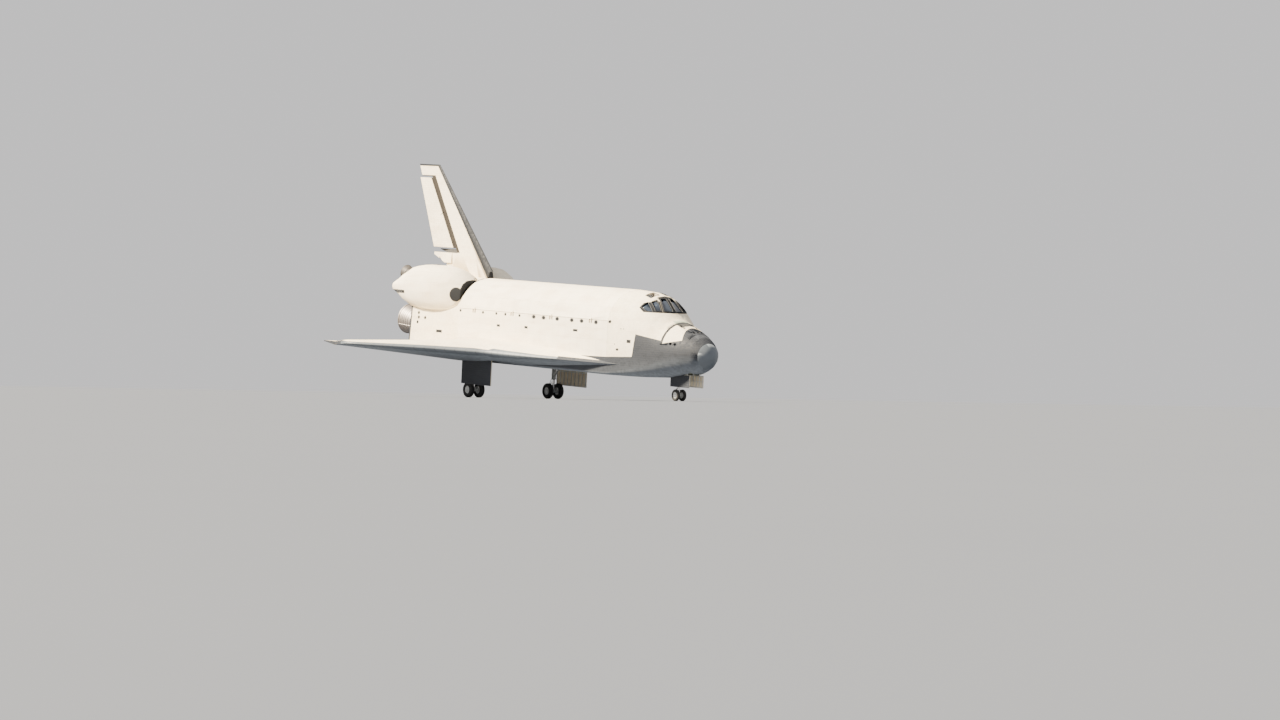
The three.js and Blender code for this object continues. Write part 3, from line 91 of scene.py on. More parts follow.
class Graph:
    """A material's nodes, built from expressions. Sizes are in inches."""

    def __init__(self, name):
        self.material = bpy.data.materials.new(name)
        self.material.use_nodes = True
        self.tree = self.material.node_tree
        self.tree.nodes.clear()
        coords = self.node("TexCoord")
        self.position = coords.outputs["Object"]
        x, y, z = self.split(self.position)
        self.x, self.y, self.z = x, y, z
        self.sta = self.sub(MID_STATION, self.mul(self.sub(self.mul(x, COS), self.mul(z, SIN)), 1 / INCH))
        self.bl = self.mul(y, 1 / INCH)
        self.wl = self.add(GROUND_WL, self.mul(self.add(self.mul(x, SIN), self.mul(z, COS)), 1 / INCH))
        self.side = self.math("ABSOLUTE", self.bl)
        geometry = self.node("NewGeometry")
        turn = self.node("VectorTransform")
        turn.vector_type = "NORMAL"
        turn.convert_from, turn.convert_to = "WORLD", "OBJECT"
        self.link(geometry.outputs["Normal"], turn.inputs[0])
        _, self.ny, self.nz = self.split(turn.outputs[0])
        self.outward = self.mul(self.math("SIGN", self.bl), self.ny)

    def node(self, kind):
        return self.tree.nodes.new(f"ShaderNode{kind}")

    def link(self, a, b):
        self.tree.links.new(a, b)

    def split(self, vector):
        node = self.node("SeparateXYZ")
        self.link(vector, node.inputs[0])
        return node.outputs

    def join(self, x, y, z):
        node = self.node("CombineXYZ")
        for value, socket in zip((x, y, z), node.inputs):
            self.put(value, socket)
        return node.outputs[0]

    def put(self, value, socket):
        if isinstance(value, bpy.types.NodeSocket):
            self.link(value, socket)
        else:
            socket.default_value = value

    def math(self, operation, *values, clamp=False):
        node = self.node("Math")
        node.operation = operation
        node.use_clamp = clamp
        for i, value in enumerate(values):
            self.put(value, node.inputs[i])
        return node.outputs[0]

    def add(self, a, b):
        return self.math("ADD", a, b)

    def sub(self, a, b):
        return self.math("SUBTRACT", a, b)

    def mul(self, a, b):
        return self.math("MULTIPLY", a, b)

    def most(self, a, *rest):
        for b in rest:
            a = self.math("MAXIMUM", a, b)
        return a

    def least(self, a, *rest):
        for b in rest:
            a = self.math("MINIMUM", a, b)
        return a

    def ramp(self, value, low, high):
        """0 at low and under, 1 at high and over."""
        return self.math("MULTIPLY", self.sub(value, low), 1 / (high - low), clamp=True)

    def over(self, value, edge, soft=0.6):
        """1 where a value is over an edge, across a soft step."""
        return self.ramp(self.sub(value, edge), -soft / 2, soft / 2)

    def under(self, value, edge, soft=0.6):
        return self.sub(1, self.over(value, edge, soft))

    def within(self, value, low, high, soft=0.6):
        return self.mul(self.over(value, low, soft), self.under(value, high, soft))

    def line(self, sta0, wl0, sta1, wl1):
        """Height over the straight line through two points of the side view."""
        slope = (wl1 - wl0) / (sta1 - sta0)
        return self.sub(self.wl, self.add(wl0, self.mul(self.sub(self.sta, sta0), slope)))

    def spot(self, sta, wl, half_sta, half_wl, soft=0.15):
        """1 within an ellipse of the side view."""
        a = self.mul(self.sub(self.sta, sta), 1 / half_sta)
        b = self.mul(self.sub(self.wl, wl), 1 / half_wl)
        return self.under(self.math("SQRT", self.add(self.mul(a, a), self.mul(b, b))), 1, soft)

    def patch(self, sta0, sta1, wl0, wl1, soft=0.6):
        """1 within a rectangle of the side view."""
        return self.mul(self.within(self.sta, sta0, sta1, soft), self.within(self.wl, wl0, wl1, soft))

    def noise(self, scale, detail=4, roughness=0.55, stretch=None):
        node = self.node("TexNoise")
        node.inputs["Scale"].default_value = scale
        node.inputs["Detail"].default_value = detail
        node.inputs["Roughness"].default_value = roughness
        vector = self.position
        if stretch:
            scaled = self.node("VectorMath")
            scaled.operation = "MULTIPLY"
            self.link(vector, scaled.inputs[0])
            scaled.inputs[1].default_value = stretch
            vector = scaled.outputs[0]
        self.link(vector, node.inputs["Vector"])
        return node.outputs["Fac"]

    def mix(self, share, a, b):
        node = self.node("Mix")
        node.data_type = "RGBA"
        self.put(share, node.inputs[0])
        self.put(a, node.inputs[6])
        self.put(b, node.inputs[7])
        return node.outputs[2]

    def blend(self, share, a, b):
        """Mix of two numbers."""
        node = self.node("Mix")
        self.put(share, node.inputs[0])
        self.put(a, node.inputs[2])
        self.put(b, node.inputs[3])
        return node.outputs[0]

    def shade(self, colour, amount):
        """Colour multiplied by an amount."""
        node = self.node("VectorMath")
        node.operation = "SCALE"
        self.put(colour if isinstance(colour, bpy.types.NodeSocket) else colour[:3], node.inputs[0])
        self.put(amount, node.inputs["Scale"])
        return node.outputs[0]

    def near(self, value):
        """Distance to the nearest whole number."""
        part = self.math("FRACT", value)
        return self.least(part, self.sub(1, part))

    def seam(self, value, pitch, width):
        """1 on lines a pitch apart along a value."""
        half = width / pitch / 2
        return self.under(self.near(self.mul(value, 1 / pitch)), half, half)

    def grid(self, size, gap, stagger=True):
        """Tiles of a size: (1 in the gaps, a random number for each tile)."""
        lying = self.over(self.math("ABSOLUTE", self.nz), 0.72, 0.02)
        v = self.mul(self.blend(lying, self.wl, self.bl), 1 / size)
        row = self.math("FLOOR", v)
        u = self.mul(self.sta, 1 / size)
        if stagger:
            u = self.add(u, self.mul(row, 0.5))
        white = self.node("TexWhiteNoise")
        self.link(self.join(self.math("FLOOR", u), row, lying), white.inputs["Vector"])
        half = gap / size / 2
        return self.under(self.least(self.near(u), self.near(v)), half, half), white.outputs["Value"]

    def finish(self, colour, roughness, metallic=0.0, height=None, depth=0.003, **more):
        shader = self.node("BsdfPrincipled")
        self.put(colour, shader.inputs["Base Color"])
        self.put(roughness, shader.inputs["Roughness"])
        self.put(metallic, shader.inputs["Metallic"])
        for name, value in more.items():
            self.put(value, shader.inputs[name.replace("_", " ")])
        if height is not None:
            bump = self.node("Bump")
            bump.inputs["Distance"].default_value = depth
            self.link(height, bump.inputs["Height"])
            self.link(bump.outputs[0], shader.inputs["Normal"])
        out = self.node("OutputMaterial")
        self.link(shader.outputs[0], out.inputs[0])
        return self.material


def rgb(*value):
    return (*value, 1.0)


WHITE = rgb(0.88, 0.79, 0.62)
BLANKET = rgb(0.90, 0.82, 0.67)
STAIN = rgb(0.62, 0.48, 0.32)
BLACK = rgb(0.025, 0.0285, 0.037)
PALE_BLACK = rgb(0.046, 0.051, 0.062)
# Painted light: a lighter, bluer black for faces that look down, standing in for floor and sky light in their
# shade
UNDERSIDE_LIGHT_BLACK = rgb(0.200, 0.226, 0.262)
# A dark metal seal colour, also used as painted shade in the hinge gap and under the rudder
SEAL_AND_SHADE = rgb(0.034, 0.028, 0.022)
DARK = rgb(0.012, 0.0135, 0.017)
PRIMER = rgb(0.47, 0.50, 0.40)
PALE_GROUT, BLACK_GROUT = rgb(0.40, 0.36, 0.31), rgb(0.15, 0.155, 0.16)
TILE, TILE_GAP = 6.0, 0.26
BLANKET_SIZE, BLANKET_GAP = 30.0, 0.5


def skin(name, dark_of=None, marks_of=None, cloth=False, seal_and_shade_of=None, inside_of=None, lightened_below=True):
    """Tiles or blankets: black where dark_of says, with dark marks, metal seals and painted insides. Some
    marks and seals are also painted shade, and black faces that look down are lightened as painted light.
    """
    g = Graph(name)
    dark = dark_of(g) if dark_of else 0.0
    gap, tint = g.grid(TILE, TILE_GAP)
    streak = g.noise(1.1, 5, 0.6, (0.35, 1, 1.6))
    cloudy = g.noise(0.45, 3)
    fine = g.noise(40, 3)
    if cloth:
        pale_gap, pale_tint = g.grid(BLANKET_SIZE, BLANKET_GAP, stagger=False)
        base, spread, groove = BLANKET, 0.06, 0.34
    else:
        pale_gap, pale_tint = gap, tint
        base, spread, groove = WHITE, 0.10, 0.32
    pale = g.mix(g.mul(g.ramp(streak, 0.48, 0.78), 0.5), base, STAIN)
    pale = g.mix(g.mul(g.ramp(cloudy, 0.5, 0.7), 0.2), pale, STAIN)
    pale = g.shade(pale, g.add(0.90, g.add(g.mul(pale_tint, spread), g.mul(cloudy, 0.08))))
    pale = g.mix(g.mul(pale_gap, groove), pale, PALE_GROUT)
    black = g.mix(g.mul(g.ramp(streak, 0.45, 0.8), 0.4), BLACK, PALE_BLACK)
    # Painted light: black faces that look down are lightened and blued, standing in for floor and sky light
    # on the shaded belly
    if lightened_below:
        black = g.mix(g.ramp(g.mul(g.nz, -1), 0.05, 0.95), black, UNDERSIDE_LIGHT_BLACK)
    black = g.shade(black, g.add(0.85, g.mul(tint, 0.30)))
    black = g.mix(g.mul(gap, 0.25), black, BLACK_GROUT)
    colour = g.mix(dark, pale, black)
    # Seals, in places also painted shade
    if seal_and_shade_of:
        colour = g.mix(seal_and_shade_of(g), colour, g.shade(SEAL_AND_SHADE, g.add(0.75, g.mul(streak, 0.5))))
    if inside_of:
        colour = g.mix(inside_of(g), colour, g.shade(PRIMER, g.add(0.7, g.mul(cloudy, 0.5))))
    if marks_of:
        colour = g.mix(marks_of(g), colour, DARK)
    rough = g.blend(dark, 0.88, g.add(0.56, g.mul(tint, 0.2)))
    quilt = g.noise(22, 2)
    height = g.sub(g.mul(quilt if cloth else fine, 0.35), g.blend(dark, pale_gap, gap))
    return g.finish(colour, rough, height=height, depth=0.005 if cloth else 0.004, Specular_IOR_Level=0.25)


# Where each skin is black, marked or sealed, with some marks and seals also painted shade. The numbers are
# stations and water lines of the side view.

def nose_well(g):
    well = g.mul(g.within(g.sta, 299.8, 391.2, 0.2), g.under(g.side, 24.2, 0.2))
    return g.mul(well, g.over(g.line(300, 287.5, 391, 275), 0, 0.4))


def windshield(g):
    """The black tiles round the front and side windows, with a slightly paler line between the front ones as
    a painted highlight on the frame.
    """
    low = g.mul(g.over(g.wl, 444), g.over(g.line(461, 444, 483, 456), 0))
    high = g.mul(g.under(g.line(479, 469, 483, 456), 0), g.under(g.line(462, 472.5, 479, 469), 0))
    front = g.mul(g.under(g.sta, 466), g.under(g.side, 25.5))
    beside = g.mul(low, g.most(high, front))
    away = g.math("ABSOLUTE", g.sub(g.side, g.sub(35, g.mul(g.sub(g.sta, 422.5), 0.288))))
    # Painted highlight: a thin paler line along the frame between two windows
    frame_highlight = g.mul(g.mul(g.under(away, 1.0), g.within(g.sta, 418, 470)), 0.16)
    return g.mul(g.mul(beside, g.over(g.sta, 408)), g.sub(1, frame_highlight))


def forward_dark(g):
    belly = g.under(g.line(470, 322, 580, 316), 0)
    edge = g.add(g.sta, g.mul(g.sub(g.wl, 383.5), 0.14))
    patch = g.mul(g.under(g.line(356, 369, 464, 383.5), 0), g.under(edge, 465))
    nose = g.under(g.sta, 356)
    return g.most(belly, patch, nose)


def forward_marks(g):
    low = g.mul(g.over(g.side, 90), g.most(
        g.spot(534, 338, 6, 3.4), g.spot(598, 336, 5, 3), g.spot(571, 412, 6, 4.4),
        g.mul(g.patch(481, 497, 358, 367), g.under(g.bl, 0)),
    ))
    small = [g.spot(sta, wl, 2.2, 1.4) for sta, wl in ((512, 395), (523, 395), (546, 352))]
    return g.most(low, g.mul(g.over(g.side, 60), g.most(*small)), windshield(g))


def module_dark(g):
    low = g.under(g.line(313, 375, 352, 367), 0)
    ring = g.over(g.sta, 366.5)
    ports = g.mul(g.mul(g.within(g.sta, 345, 370), g.under(g.side, 26)), 0.9)
    front = g.sub(332, g.mul(g.mul(g.bl, g.bl), 0.009))
    return g.most(g.under(g.sub(g.sta, front), 0), low, ring, ports)


def module_marks(g):
    """The ring behind the module and the dark tiles round its upper ports."""
    ports = g.mul(g.within(g.sta, 345, 370), g.under(g.side, 26))
    return g.most(g.mul(g.over(g.sta, 366.5), 0.8), g.mul(ports, 0.6))


def bay_inside(g):
    return g.mul(g.under(g.side, 93.2), g.over(g.wl, 305))


def mid_dark(g):
    return g.mul(g.under(g.line(580, 316, 1307, 300), 0), g.sub(1, bay_inside(g)))


SILL_DOTS = (634, 702, 749, 819, 885, 933, 1003, 1073, 1118, 1185, 1299)


def mid_marks(g):
    vents = [g.patch(sta - length, sta + length, wl - 3.4, wl + 3.4) for sta, wl, length in (
        (730, 380, 11), (968, 376, 8), (1105, 374, 8))]
    dots = [g.spot(sta, 407, *((9.0, 5.6) if sta < 940 else (5.2, 4.0)), 0.4) for sta in SILL_DOTS]
    return g.mul(g.over(g.side, 100), g.most(*vents, *dots))


def aft_dark(g):
    return g.most(g.under(g.wl, 300), g.over(g.sta, 1524.5))


def tank_doors(g):
    """Outlines of the two doors over the tank's pipes, on the belly."""
    def box(half):
        return g.mul(g.within(g.sta, 1342 - half, 1342 + half), g.within(g.side, 48 - half, 48 + half))
    return g.mul(g.sub(box(25), box(24)), g.under(g.nz, -0.8, 0.1))


def aft_marks(g):
    spots = [g.spot(*place, 5.0, 4.6, 0.4) for place in ((1494, 391), (1492, 378), (1463, 378), (1496, 364))]
    vent = g.patch(1382, 1408, 339, 347)
    # The dark band at the pods' fronts is partly painted shade in the gap
    return g.most(g.mul(g.over(g.side, 100), g.most(*spots, vent)), tank_doors(g), pod_patch(g), pod_seal_and_gap_shade(g))


def pod_patch(g):
    """The round patch of black tiles on the front of each pod."""
    centre = at(1323, 108, 451)
    reach = 0.52
    place = g.join(g.sub(g.x, centre.x), g.sub(g.math("ABSOLUTE", g.y), centre.y), g.sub(g.z, centre.z))
    length = g.node("VectorMath")
    length.operation = "LENGTH"
    g.link(place, length.inputs[0])
    return g.under(length.outputs["Value"], reach, 0.05)


def pod_seal_and_gap_shade(g):
    """The dark band where the pods meet the bay doors: the seal there, and painted shade in the gap."""
    return g.mul(g.under(g.sta, 1314), g.over(g.wl, 446))


def pod_marks(g):
    slot = g.mul(g.over(g.side, 116), g.patch(1530, 1594, 444.5, 453.5))
    # The dark band at the pods' fronts is partly painted shade in the gap
    return g.most(pod_patch(g), slot, pod_seal_and_gap_shade(g))


def main_well(g):
    well = g.mul(g.within(g.sta, 1039.8, 1191.2, 0.2), g.within(g.side, 107.8, 165.2, 0.2))
    return g.mul(well, g.within(g.wl, 272, 316.2, 0.4))


def wing_dark(g):
    """The underside, the glove's front edge and the tip."""
    behind = g.sub(g.sta, g.add(505, g.mul(g.sub(g.side, 98), 5.72)))
    glove = g.mul(g.under(behind, 62), g.under(g.sta, 764))
    return g.most(g.under(g.nz, 0.02, 0.03), glove, g.over(g.side, 463.5))


def wing_seal(g):
    """The metal strips ahead of the elevons, on top of the wing."""
    return g.mul(g.within(g.sta, 1372, 1391), g.over(g.nz, 0.3, 0.1))


def behind_edge(g):
    """Distance behind the fin's leading edge."""
    return g.sub(g.sta, g.add(1275, g.sub(g.wl, 498)))


HINGE_LOW, HINGE_HIGH = (1491.2, 580), (1629.74, 779)


def behind_hinge(g):
    slope = (HINGE_HIGH[0] - HINGE_LOW[0]) / (HINGE_HIGH[1] - HINGE_LOW[1])
    return g.sub(g.sta, g.add(HINGE_LOW[0], g.mul(g.sub(g.wl, HINGE_LOW[1]), slope)))


def fin_dark(g):
    reach = g.sub(33, g.mul(g.sub(g.wl, 503), 0.072))
    root = g.mul(g.under(g.sub(behind_edge(g), reach), 0, 1.2), g.over(g.wl, 497))
    return g.most(root, g.over(g.wl, 813.5))


def fin_shade_marks(g):
    """The leading edge and the tip, darker than the black tiles; on the leading edge this darkening is
    painted shade.
    """
    return g.mul(fin_dark(g), 0.8)


def fin_shade_and_seal(g):
    # Painted shade: the strip ahead of the hinge is the metal seal and the shade in the hinge gap, and the
    # top of the foot under the rudder is dark only as painted shade
    strip = g.mul(g.over(behind_hinge(g), -27), g.within(g.wl, 567, 787))
    foot = g.mul(g.over(g.wl, 565.2, 0.3), g.mul(g.under(g.wl, 569), g.over(g.nz, 0.8, 0.2)))
    return g.most(strip, g.mul(foot, g.over(behind_hinge(g), -20)))


def rudder_shade_and_seal(g):
    # Painted shade: the inner faces are metal, the nose in the hinge gap is seal and painted gap shade, and
    # the underside is painted shade
    inner = g.under(g.outward, -0.5, 0.2)
    return g.most(g.under(behind_hinge(g), 2), inner, g.under(g.nz, -0.7, 0.1))


def gear_door_dark(g):
    return g.over(g.outward, 0.5, 0.1)


def carbon(name, panels):
    g = Graph(name)
    cloudy = g.noise(1.4, 5, 0.6)
    # Painted light: the carbon's own dark grey is lifted and blued to stand in for sky light on the shaded
    # nose and leading edges
    colour = g.shade(rgb(0.110, 0.128, 0.150), g.add(0.78, g.mul(cloudy, 0.45)))
    height = cloudy
    if panels:
        seam = g.seam(g.sta, 21, 0.8)
        colour = g.mix(g.mul(seam, 0.75), colour, DARK)
        height = g.sub(0.5, seam)
    return g.finish(colour, g.add(0.40, g.mul(cloudy, 0.25)), height=height, depth=0.004)


def metal(name, colour, rough, metallic=1.0, stained=0.5):
    g = Graph(name)
    cloudy = g.noise(2.2, 5, 0.62)
    fine = g.noise(55, 3)
    dull = tuple(c * 0.45 for c in colour[:3]) + (1,)
    base = g.mix(g.mul(g.ramp(cloudy, 0.45, 0.75), stained), colour, dull)
    base = g.shade(base, g.add(0.75, g.mul(cloudy, 0.5)))
    return g.finish(base, g.add(rough, g.mul(fine, 0.18)), metallic, height=fine, depth=0.0008)


def glass():
    g = Graph("pane_glass")
    cloudy = g.noise(1.5, 3)
    colour = g.mix(g.ramp(cloudy, 0.35, 0.7), rgb(0.020, 0.028, 0.046), rgb(0.034, 0.047, 0.070))
    return g.finish(colour, g.add(0.04, g.mul(cloudy, 0.05)), 0.0, Coat_Weight=1.0, IOR=1.5)


def rubber():
    g = Graph("worn_rubber")
    cloudy = g.noise(9, 5, 0.6)
    colour = g.mix(g.ramp(cloudy, 0.45, 0.8), rgb(0.020, 0.020, 0.021), rgb(0.080, 0.075, 0.068))
    return g.finish(colour, g.add(0.72, g.mul(cloudy, 0.2)), height=g.noise(120, 3), depth=0.0015)


def paint(name, colour, rough=0.42, wear=0.35):
    g = Graph(name)
    cloudy = g.noise(6, 6, 0.65)
    fine = g.noise(60, 3)
    grime = g.mul(g.ramp(cloudy, 0.52, 0.78), wear)
    base = g.mix(grime, colour, rgb(0.21, 0.18, 0.145))
    return g.finish(base, g.add(rough, g.mul(grime, 0.5)), height=fine, depth=0.0008)


def blanket(name, colour, pitch):
    """Quilted cloth with stitch lines a pitch apart."""
    g = Graph(name)
    cloudy = g.noise(2.0, 5, 0.6)
    weave = g.noise(90, 2)
    stitch = g.most(g.seam(g.sta, pitch, 0.25), g.seam(g.add(g.wl, g.bl), pitch, 0.25))
    base = g.shade(colour, g.add(0.72, g.mul(cloudy, 0.45)))
    base = g.mix(g.mul(stitch, 0.3), base, DARK)
    return g.finish(base, 0.85, height=g.sub(g.mul(weave, 0.3), stitch), depth=0.004)


def radiator_film():
    g = Graph("radiator_film")
    gap, tint = g.grid(9.0, 0.22, stagger=False)
    cloudy = g.noise(3, 4)
    colour = g.shade(rgb(0.72, 0.75, 0.78), g.add(0.82, g.add(g.mul(tint, 0.12), g.mul(cloudy, 0.12))))
    colour = g.mix(g.mul(gap, 0.5), colour, rgb(0.3, 0.31, 0.32))
    return g.finish(colour, g.add(0.16, g.mul(cloudy, 0.16)), 0.85, height=g.sub(0.5, gap), depth=0.002)


# Materials by the slot that they fill
SLOTS = {
    "white_tile": [
        skin("forward_skin", forward_dark, forward_marks, inside_of=nose_well),
        skin("module_skin", module_dark, module_marks, lightened_below=False),
        skin("aft_skin", aft_dark, aft_marks),
        skin("wing_skin", wing_dark, seal_and_shade_of=wing_seal, inside_of=main_well),
        skin("fin_skin", fin_dark, fin_shade_marks, seal_and_shade_of=fin_shade_and_seal),
        skin("rudder_skin", seal_and_shade_of=rudder_shade_and_seal),
        skin("white_tiles"),
    ],
    "white_blanket": [
        skin("mid_skin", mid_dark, mid_marks, cloth=True),
        skin("door_skin", cloth=True),
        skin("pod_skin", marks_of=pod_marks, cloth=True),
        blanket("bay_liner", rgb(0.74, 0.73, 0.70), 12),
    ],
    "black_tile": [
        skin("black_tiles", lambda g: 1.0),
        skin("gear_door_skin", gear_door_dark),
        paint("window_frame", rgb(0.018, 0.019, 0.022), 0.6, 0.1),
    ],
    "carbon": [carbon("nose_carbon", False), carbon("edge_carbon", True)],
    "window_glass": [glass()],
    "bare_metal": [
        metal("machined_metal", rgb(0.5, 0.5, 0.5), 0.3, stained=0.3),
        metal("sooty_metal", rgb(0.10, 0.095, 0.09), 0.6, 0.5),
    ],
    "bell_metal": [
        metal("heated_metal", rgb(0.34, 0.305, 0.29), 0.45, 0.85),
        metal("dark_nozzle_metal", rgb(0.13, 0.12, 0.115), 0.5, 0.6, stained=0.4),
        blanket("engine_blanket", rgb(0.42, 0.41, 0.39), 14),
    ],
    "gear_metal": [
        paint("gear_enamel", rgb(0.66, 0.67, 0.66)),
        metal("polished_piston", rgb(0.75, 0.75, 0.76), 0.12, stained=0.1),
    ],
    "tyre_rubber": [rubber(), paint("black_hose", rgb(0.03, 0.03, 0.032), 0.5, 0.2)],
    "radiator_silver": [radiator_film()],
    "cabin_grey": [
        paint("cabin_paint", rgb(0.27, 0.29, 0.28), 0.6, 0.2),
        blanket("seat_cloth", rgb(0.12, 0.14, 0.20), 4),
    ],
}
MATERIALS = {material.name: (slot, material) for slot, materials in SLOTS.items() for material in materials}


# Pieces. The meshes are made in place, in the frame's axes.

SHARP = 32


def add_piece(name, work, look, node, replaced=(), sharp=SHARP, bevel=0.0):
    """An object from the mesh in work, on the body of a CAD node."""
    bmesh.ops.recalc_face_normals(work, faces=work.faces)
    mesh = bpy.data.meshes.new(name)
    work.to_mesh(mesh)
    work.free()
    for polygon in mesh.polygons:
        polygon.use_smooth = True
    mesh.set_sharp_from_angle(angle=radians(sharp))
    slot, material = MATERIALS[look]
    mesh.materials.append(material)
    piece = add_object(name, mesh)
    body = nodes[node]["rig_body"]
    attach(piece, body)
    if replaced:
        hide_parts(*replaced)
    if bevel:
        trim = piece.modifiers.new("edge", "BEVEL")
        trim.width = bevel
        trim.segments = 2
        trim.limit_method = "ANGLE"
        trim.angle_limit = radians(40)


def stitch(work, rows, closed=False):
    """Faces between rows of vertices; a row of one vertex is a pole."""
    pairs = list(zip(rows, rows[1:]))
    if closed:
        pairs.append((rows[-1], rows[0]))
    count = max(len(row) for row in rows)
    for low, high in pairs:
        for i in range(count):
            j = (i + 1) % count
            quad = [row[k % len(row)] for row, k in ((low, i), (low, j), (high, j), (high, i))]
            corners = list(dict.fromkeys(quad))
            if len(corners) > 2:
                work.faces.new(corners)


def fan(u, v, count, start=0.0):
    """Unit vectors spread evenly round a circle, from u towards v."""
    turns = [start + 2 * pi * i / count for i in range(count)]
    return [u * cos(turn) + v * sin(turn) for turn in turns]


def spokes(axis, count, start=0.0):
    """Unit vectors across an axis, spread evenly about it."""
    u = axis.orthogonal().normalized()
    return fan(u, axis.cross(u), count, start)


def lathe(work, profile, origin, axis, segments=64, closed=False):
    """A turned shape from places (along the axis, radius), in inches."""
    around = spokes(axis, segments)
    rows = []
    for along, r in profile:
        centre = origin + axis * (along * INCH)
        ends = around if r > 1e-4 else [Vector()]
        rows.append([work.verts.new(centre + spoke * (r * INCH)) for spoke in ends])
    stitch(work, rows, closed)


def bar(work, start, end, r0, r1=None, segments=32, edge=0.3):
    """A round bar from place to place with rounded ends."""
    r1 = r1 or r0
    axis = end - start
    length = axis.length / INCH
    edge = min(edge, r0 * 0.4, r1 * 0.4, length * 0.3)
    profile = [(0, 0), (0, r0 - edge), (edge, r0), (length - edge, r1), (length, r1 - edge), (length, 0)]
    lathe(work, profile, start, axis.normalized(), segments)


def crossbar(work, sta, bl, wl, half, r, segments=32, edge=0.3):
    """A round bar from side to side, given by its middle."""
    bar(work, at(sta, bl - half, wl), at(sta, bl + half, wl), r, segments=segments, edge=edge)


def upright(work, sta, bl, low, high, r, segments=48, edge=0.3):
    bar(work, at(sta, bl, low), at(sta, bl, high), r, segments=segments, edge=edge)


def tube(work, points, r, segments=10, closed=False):
    """A round tube through places."""
    count = len(points)
    rows = []
    normal = None
    for i, point in enumerate(points):
        behind = points[(i - 1) % count] if closed or i else point
        ahead = points[(i + 1) % count] if closed or i < count - 1 else point
        axis = (ahead - behind).normalized()
        if normal is None:
            normal = axis.orthogonal()
        normal = (normal - axis * normal.dot(axis)).normalized()
        around = fan(normal, axis.cross(normal), segments)
        rows.append([work.verts.new(point + spoke * (r * INCH)) for spoke in around])
    stitch(work, rows, closed)
    if not closed:
        work.faces.new(rows[0])
        work.faces.new(rows[-1])


def smooth_path(points, steps=6):
    """A curve through places."""
    path = []
    for i in range(len(points) - 1):
        p0, p1 = points[max(i - 1, 0)], points[i]
        p2, p3 = points[i + 1], points[min(i + 2, len(points) - 1)]
        for k in range(steps):
            t = k / steps
            path.append(0.5 * (
                2 * p1 + (p2 - p0) * t + (2 * p0 - 5 * p1 + 4 * p2 - p3) * t * t
                + (3 * p1 - p0 - 3 * p2 + p3) * t * t * t
            ))
    return path + [points[-1]]


BOX_FACES = ((0, 1, 3, 2), (4, 6, 7, 5), (0, 4, 5, 1), (2, 3, 7, 6), (0, 2, 6, 4), (1, 5, 7, 3))


def box(work, sta, bl, wl):
    """A box from ranges of station, butt line and water line."""
    corners = [work.verts.new(at(s, b, w)) for s in sta for b in bl for w in wl]
    for face in BOX_FACES:
        work.faces.new([corners[i] for i in face])


def slab(work, *outlines):
    """A plate between two outlines of places."""
    rows = [[work.verts.new(place) for place in outline] for outline in outlines]
    stitch(work, rows)
    for row in rows:
        work.faces.new(row)


def plate(work, outline, bl, half):
    """A flat plate with an outline in the side view."""
    slab(work, *([at(s, y, w) for s, w in outline] for y in (bl - half, bl + half)))


def arc(r, start, end, steps):
    """Places (along, radius) on a circle about the origin of a turned shape."""
    turns = [mix(start, end, i / steps) for i in range(steps + 1)]
    return [(r * cos(a), r * sin(a)) for a in turns]


MERGE, FLAT = 0.00005, radians(0.04)


def refined(node, look, sharp, bevel):
    """A copy of a CAD node with its corners merged and its curved faces shaded softly."""
    work = bmesh.new()
    work.from_mesh(nodes[node].data)
    bmesh.ops.remove_doubles(work, verts=work.verts, dist=MERGE)
    bmesh.ops.dissolve_limit(
        work, angle_limit=FLAT, verts=work.verts, edges=work.edges, use_dissolve_boundaries=False,
    )
    add_piece(f"{node}_fine", work, look, node, [node], sharp, bevel)


def tree_of(*names):
    """What rays are cast against: the surfaces of some nodes."""
    work = bmesh.new()
    for name in names:
        work.from_mesh(nodes[name].data)
    tree = BVHTree.FromBMesh(work)
    work.free()
    return tree


LOOKS = dict(
    nose_cap="nose_carbon",
    forward_thruster_module="module_skin",
    forward_fuselage="forward_skin",
    window_panes="pane_glass",
    cabin_aft_bulkhead="cabin_paint",
    flight_deck="cabin_paint",
    crew_seat_left="seat_cloth",
    crew_seat_right="seat_cloth",
    crew_hatch="white_tiles",
    mid_fuselage="mid_skin",
    aft_fuselage="aft_skin",
    base_heat_shield="black_tiles",
    vertical_fin="fin_skin",
    rudder_shaft="machined_metal",
    body_flap="black_tiles",
)
PAIR_LOOKS = dict(
    payload_door="door_skin",
    radiator="radiator_film",
    wing="wing_skin",
    wing_leading_edge="edge_carbon",
    elevon_inboard="wing_skin",
    elevon_outboard="wing_skin",
    rudder="rudder_skin",
    oms_pod="pod_skin",
    nose_gear_door="gear_door_skin",
    main_gear_door="gear_door_skin",
)
BEVELS = {"flight_deck": 0.006}
# Nodes with coarse curves have a wider sharp angle
SOFT = {"nose_cap": 70}
SIDES = (("left", 1), ("right", -1))
for name, _ in SIDES:
    LOOKS |= {f"{node}_{name}": look for node, look in PAIR_LOOKS.items()}
    BEVELS |= {f"crew_seat_{name}": 0.02, f"nose_gear_door_{name}": 0.008, f"main_gear_door_{name}": 0.010}
    SOFT[f"oms_pod_{name}"] = 50
for node, look in LOOKS.items():
    refined(node, look, SOFT.get(node, SHARP), BEVELS.get(node, 0.0))


# Main engines: a blanket-covered dome about the gimbal, and a ribbed bell. Places along are from the gimbal.

NECK, NECK_R, EXIT, EXIT_R = 66, 19, 157, 44.1
HATBANDS = (80, 90, 100, 110, 119, 127, 134, 140.5, 146)
BAND_HEIGHT, BELL_WALL, BELL_STEPS = 0.8, 0.95, 46
DOME_WALL, DOME_MOUTH, DEEP_DOME = 2, 27, 80


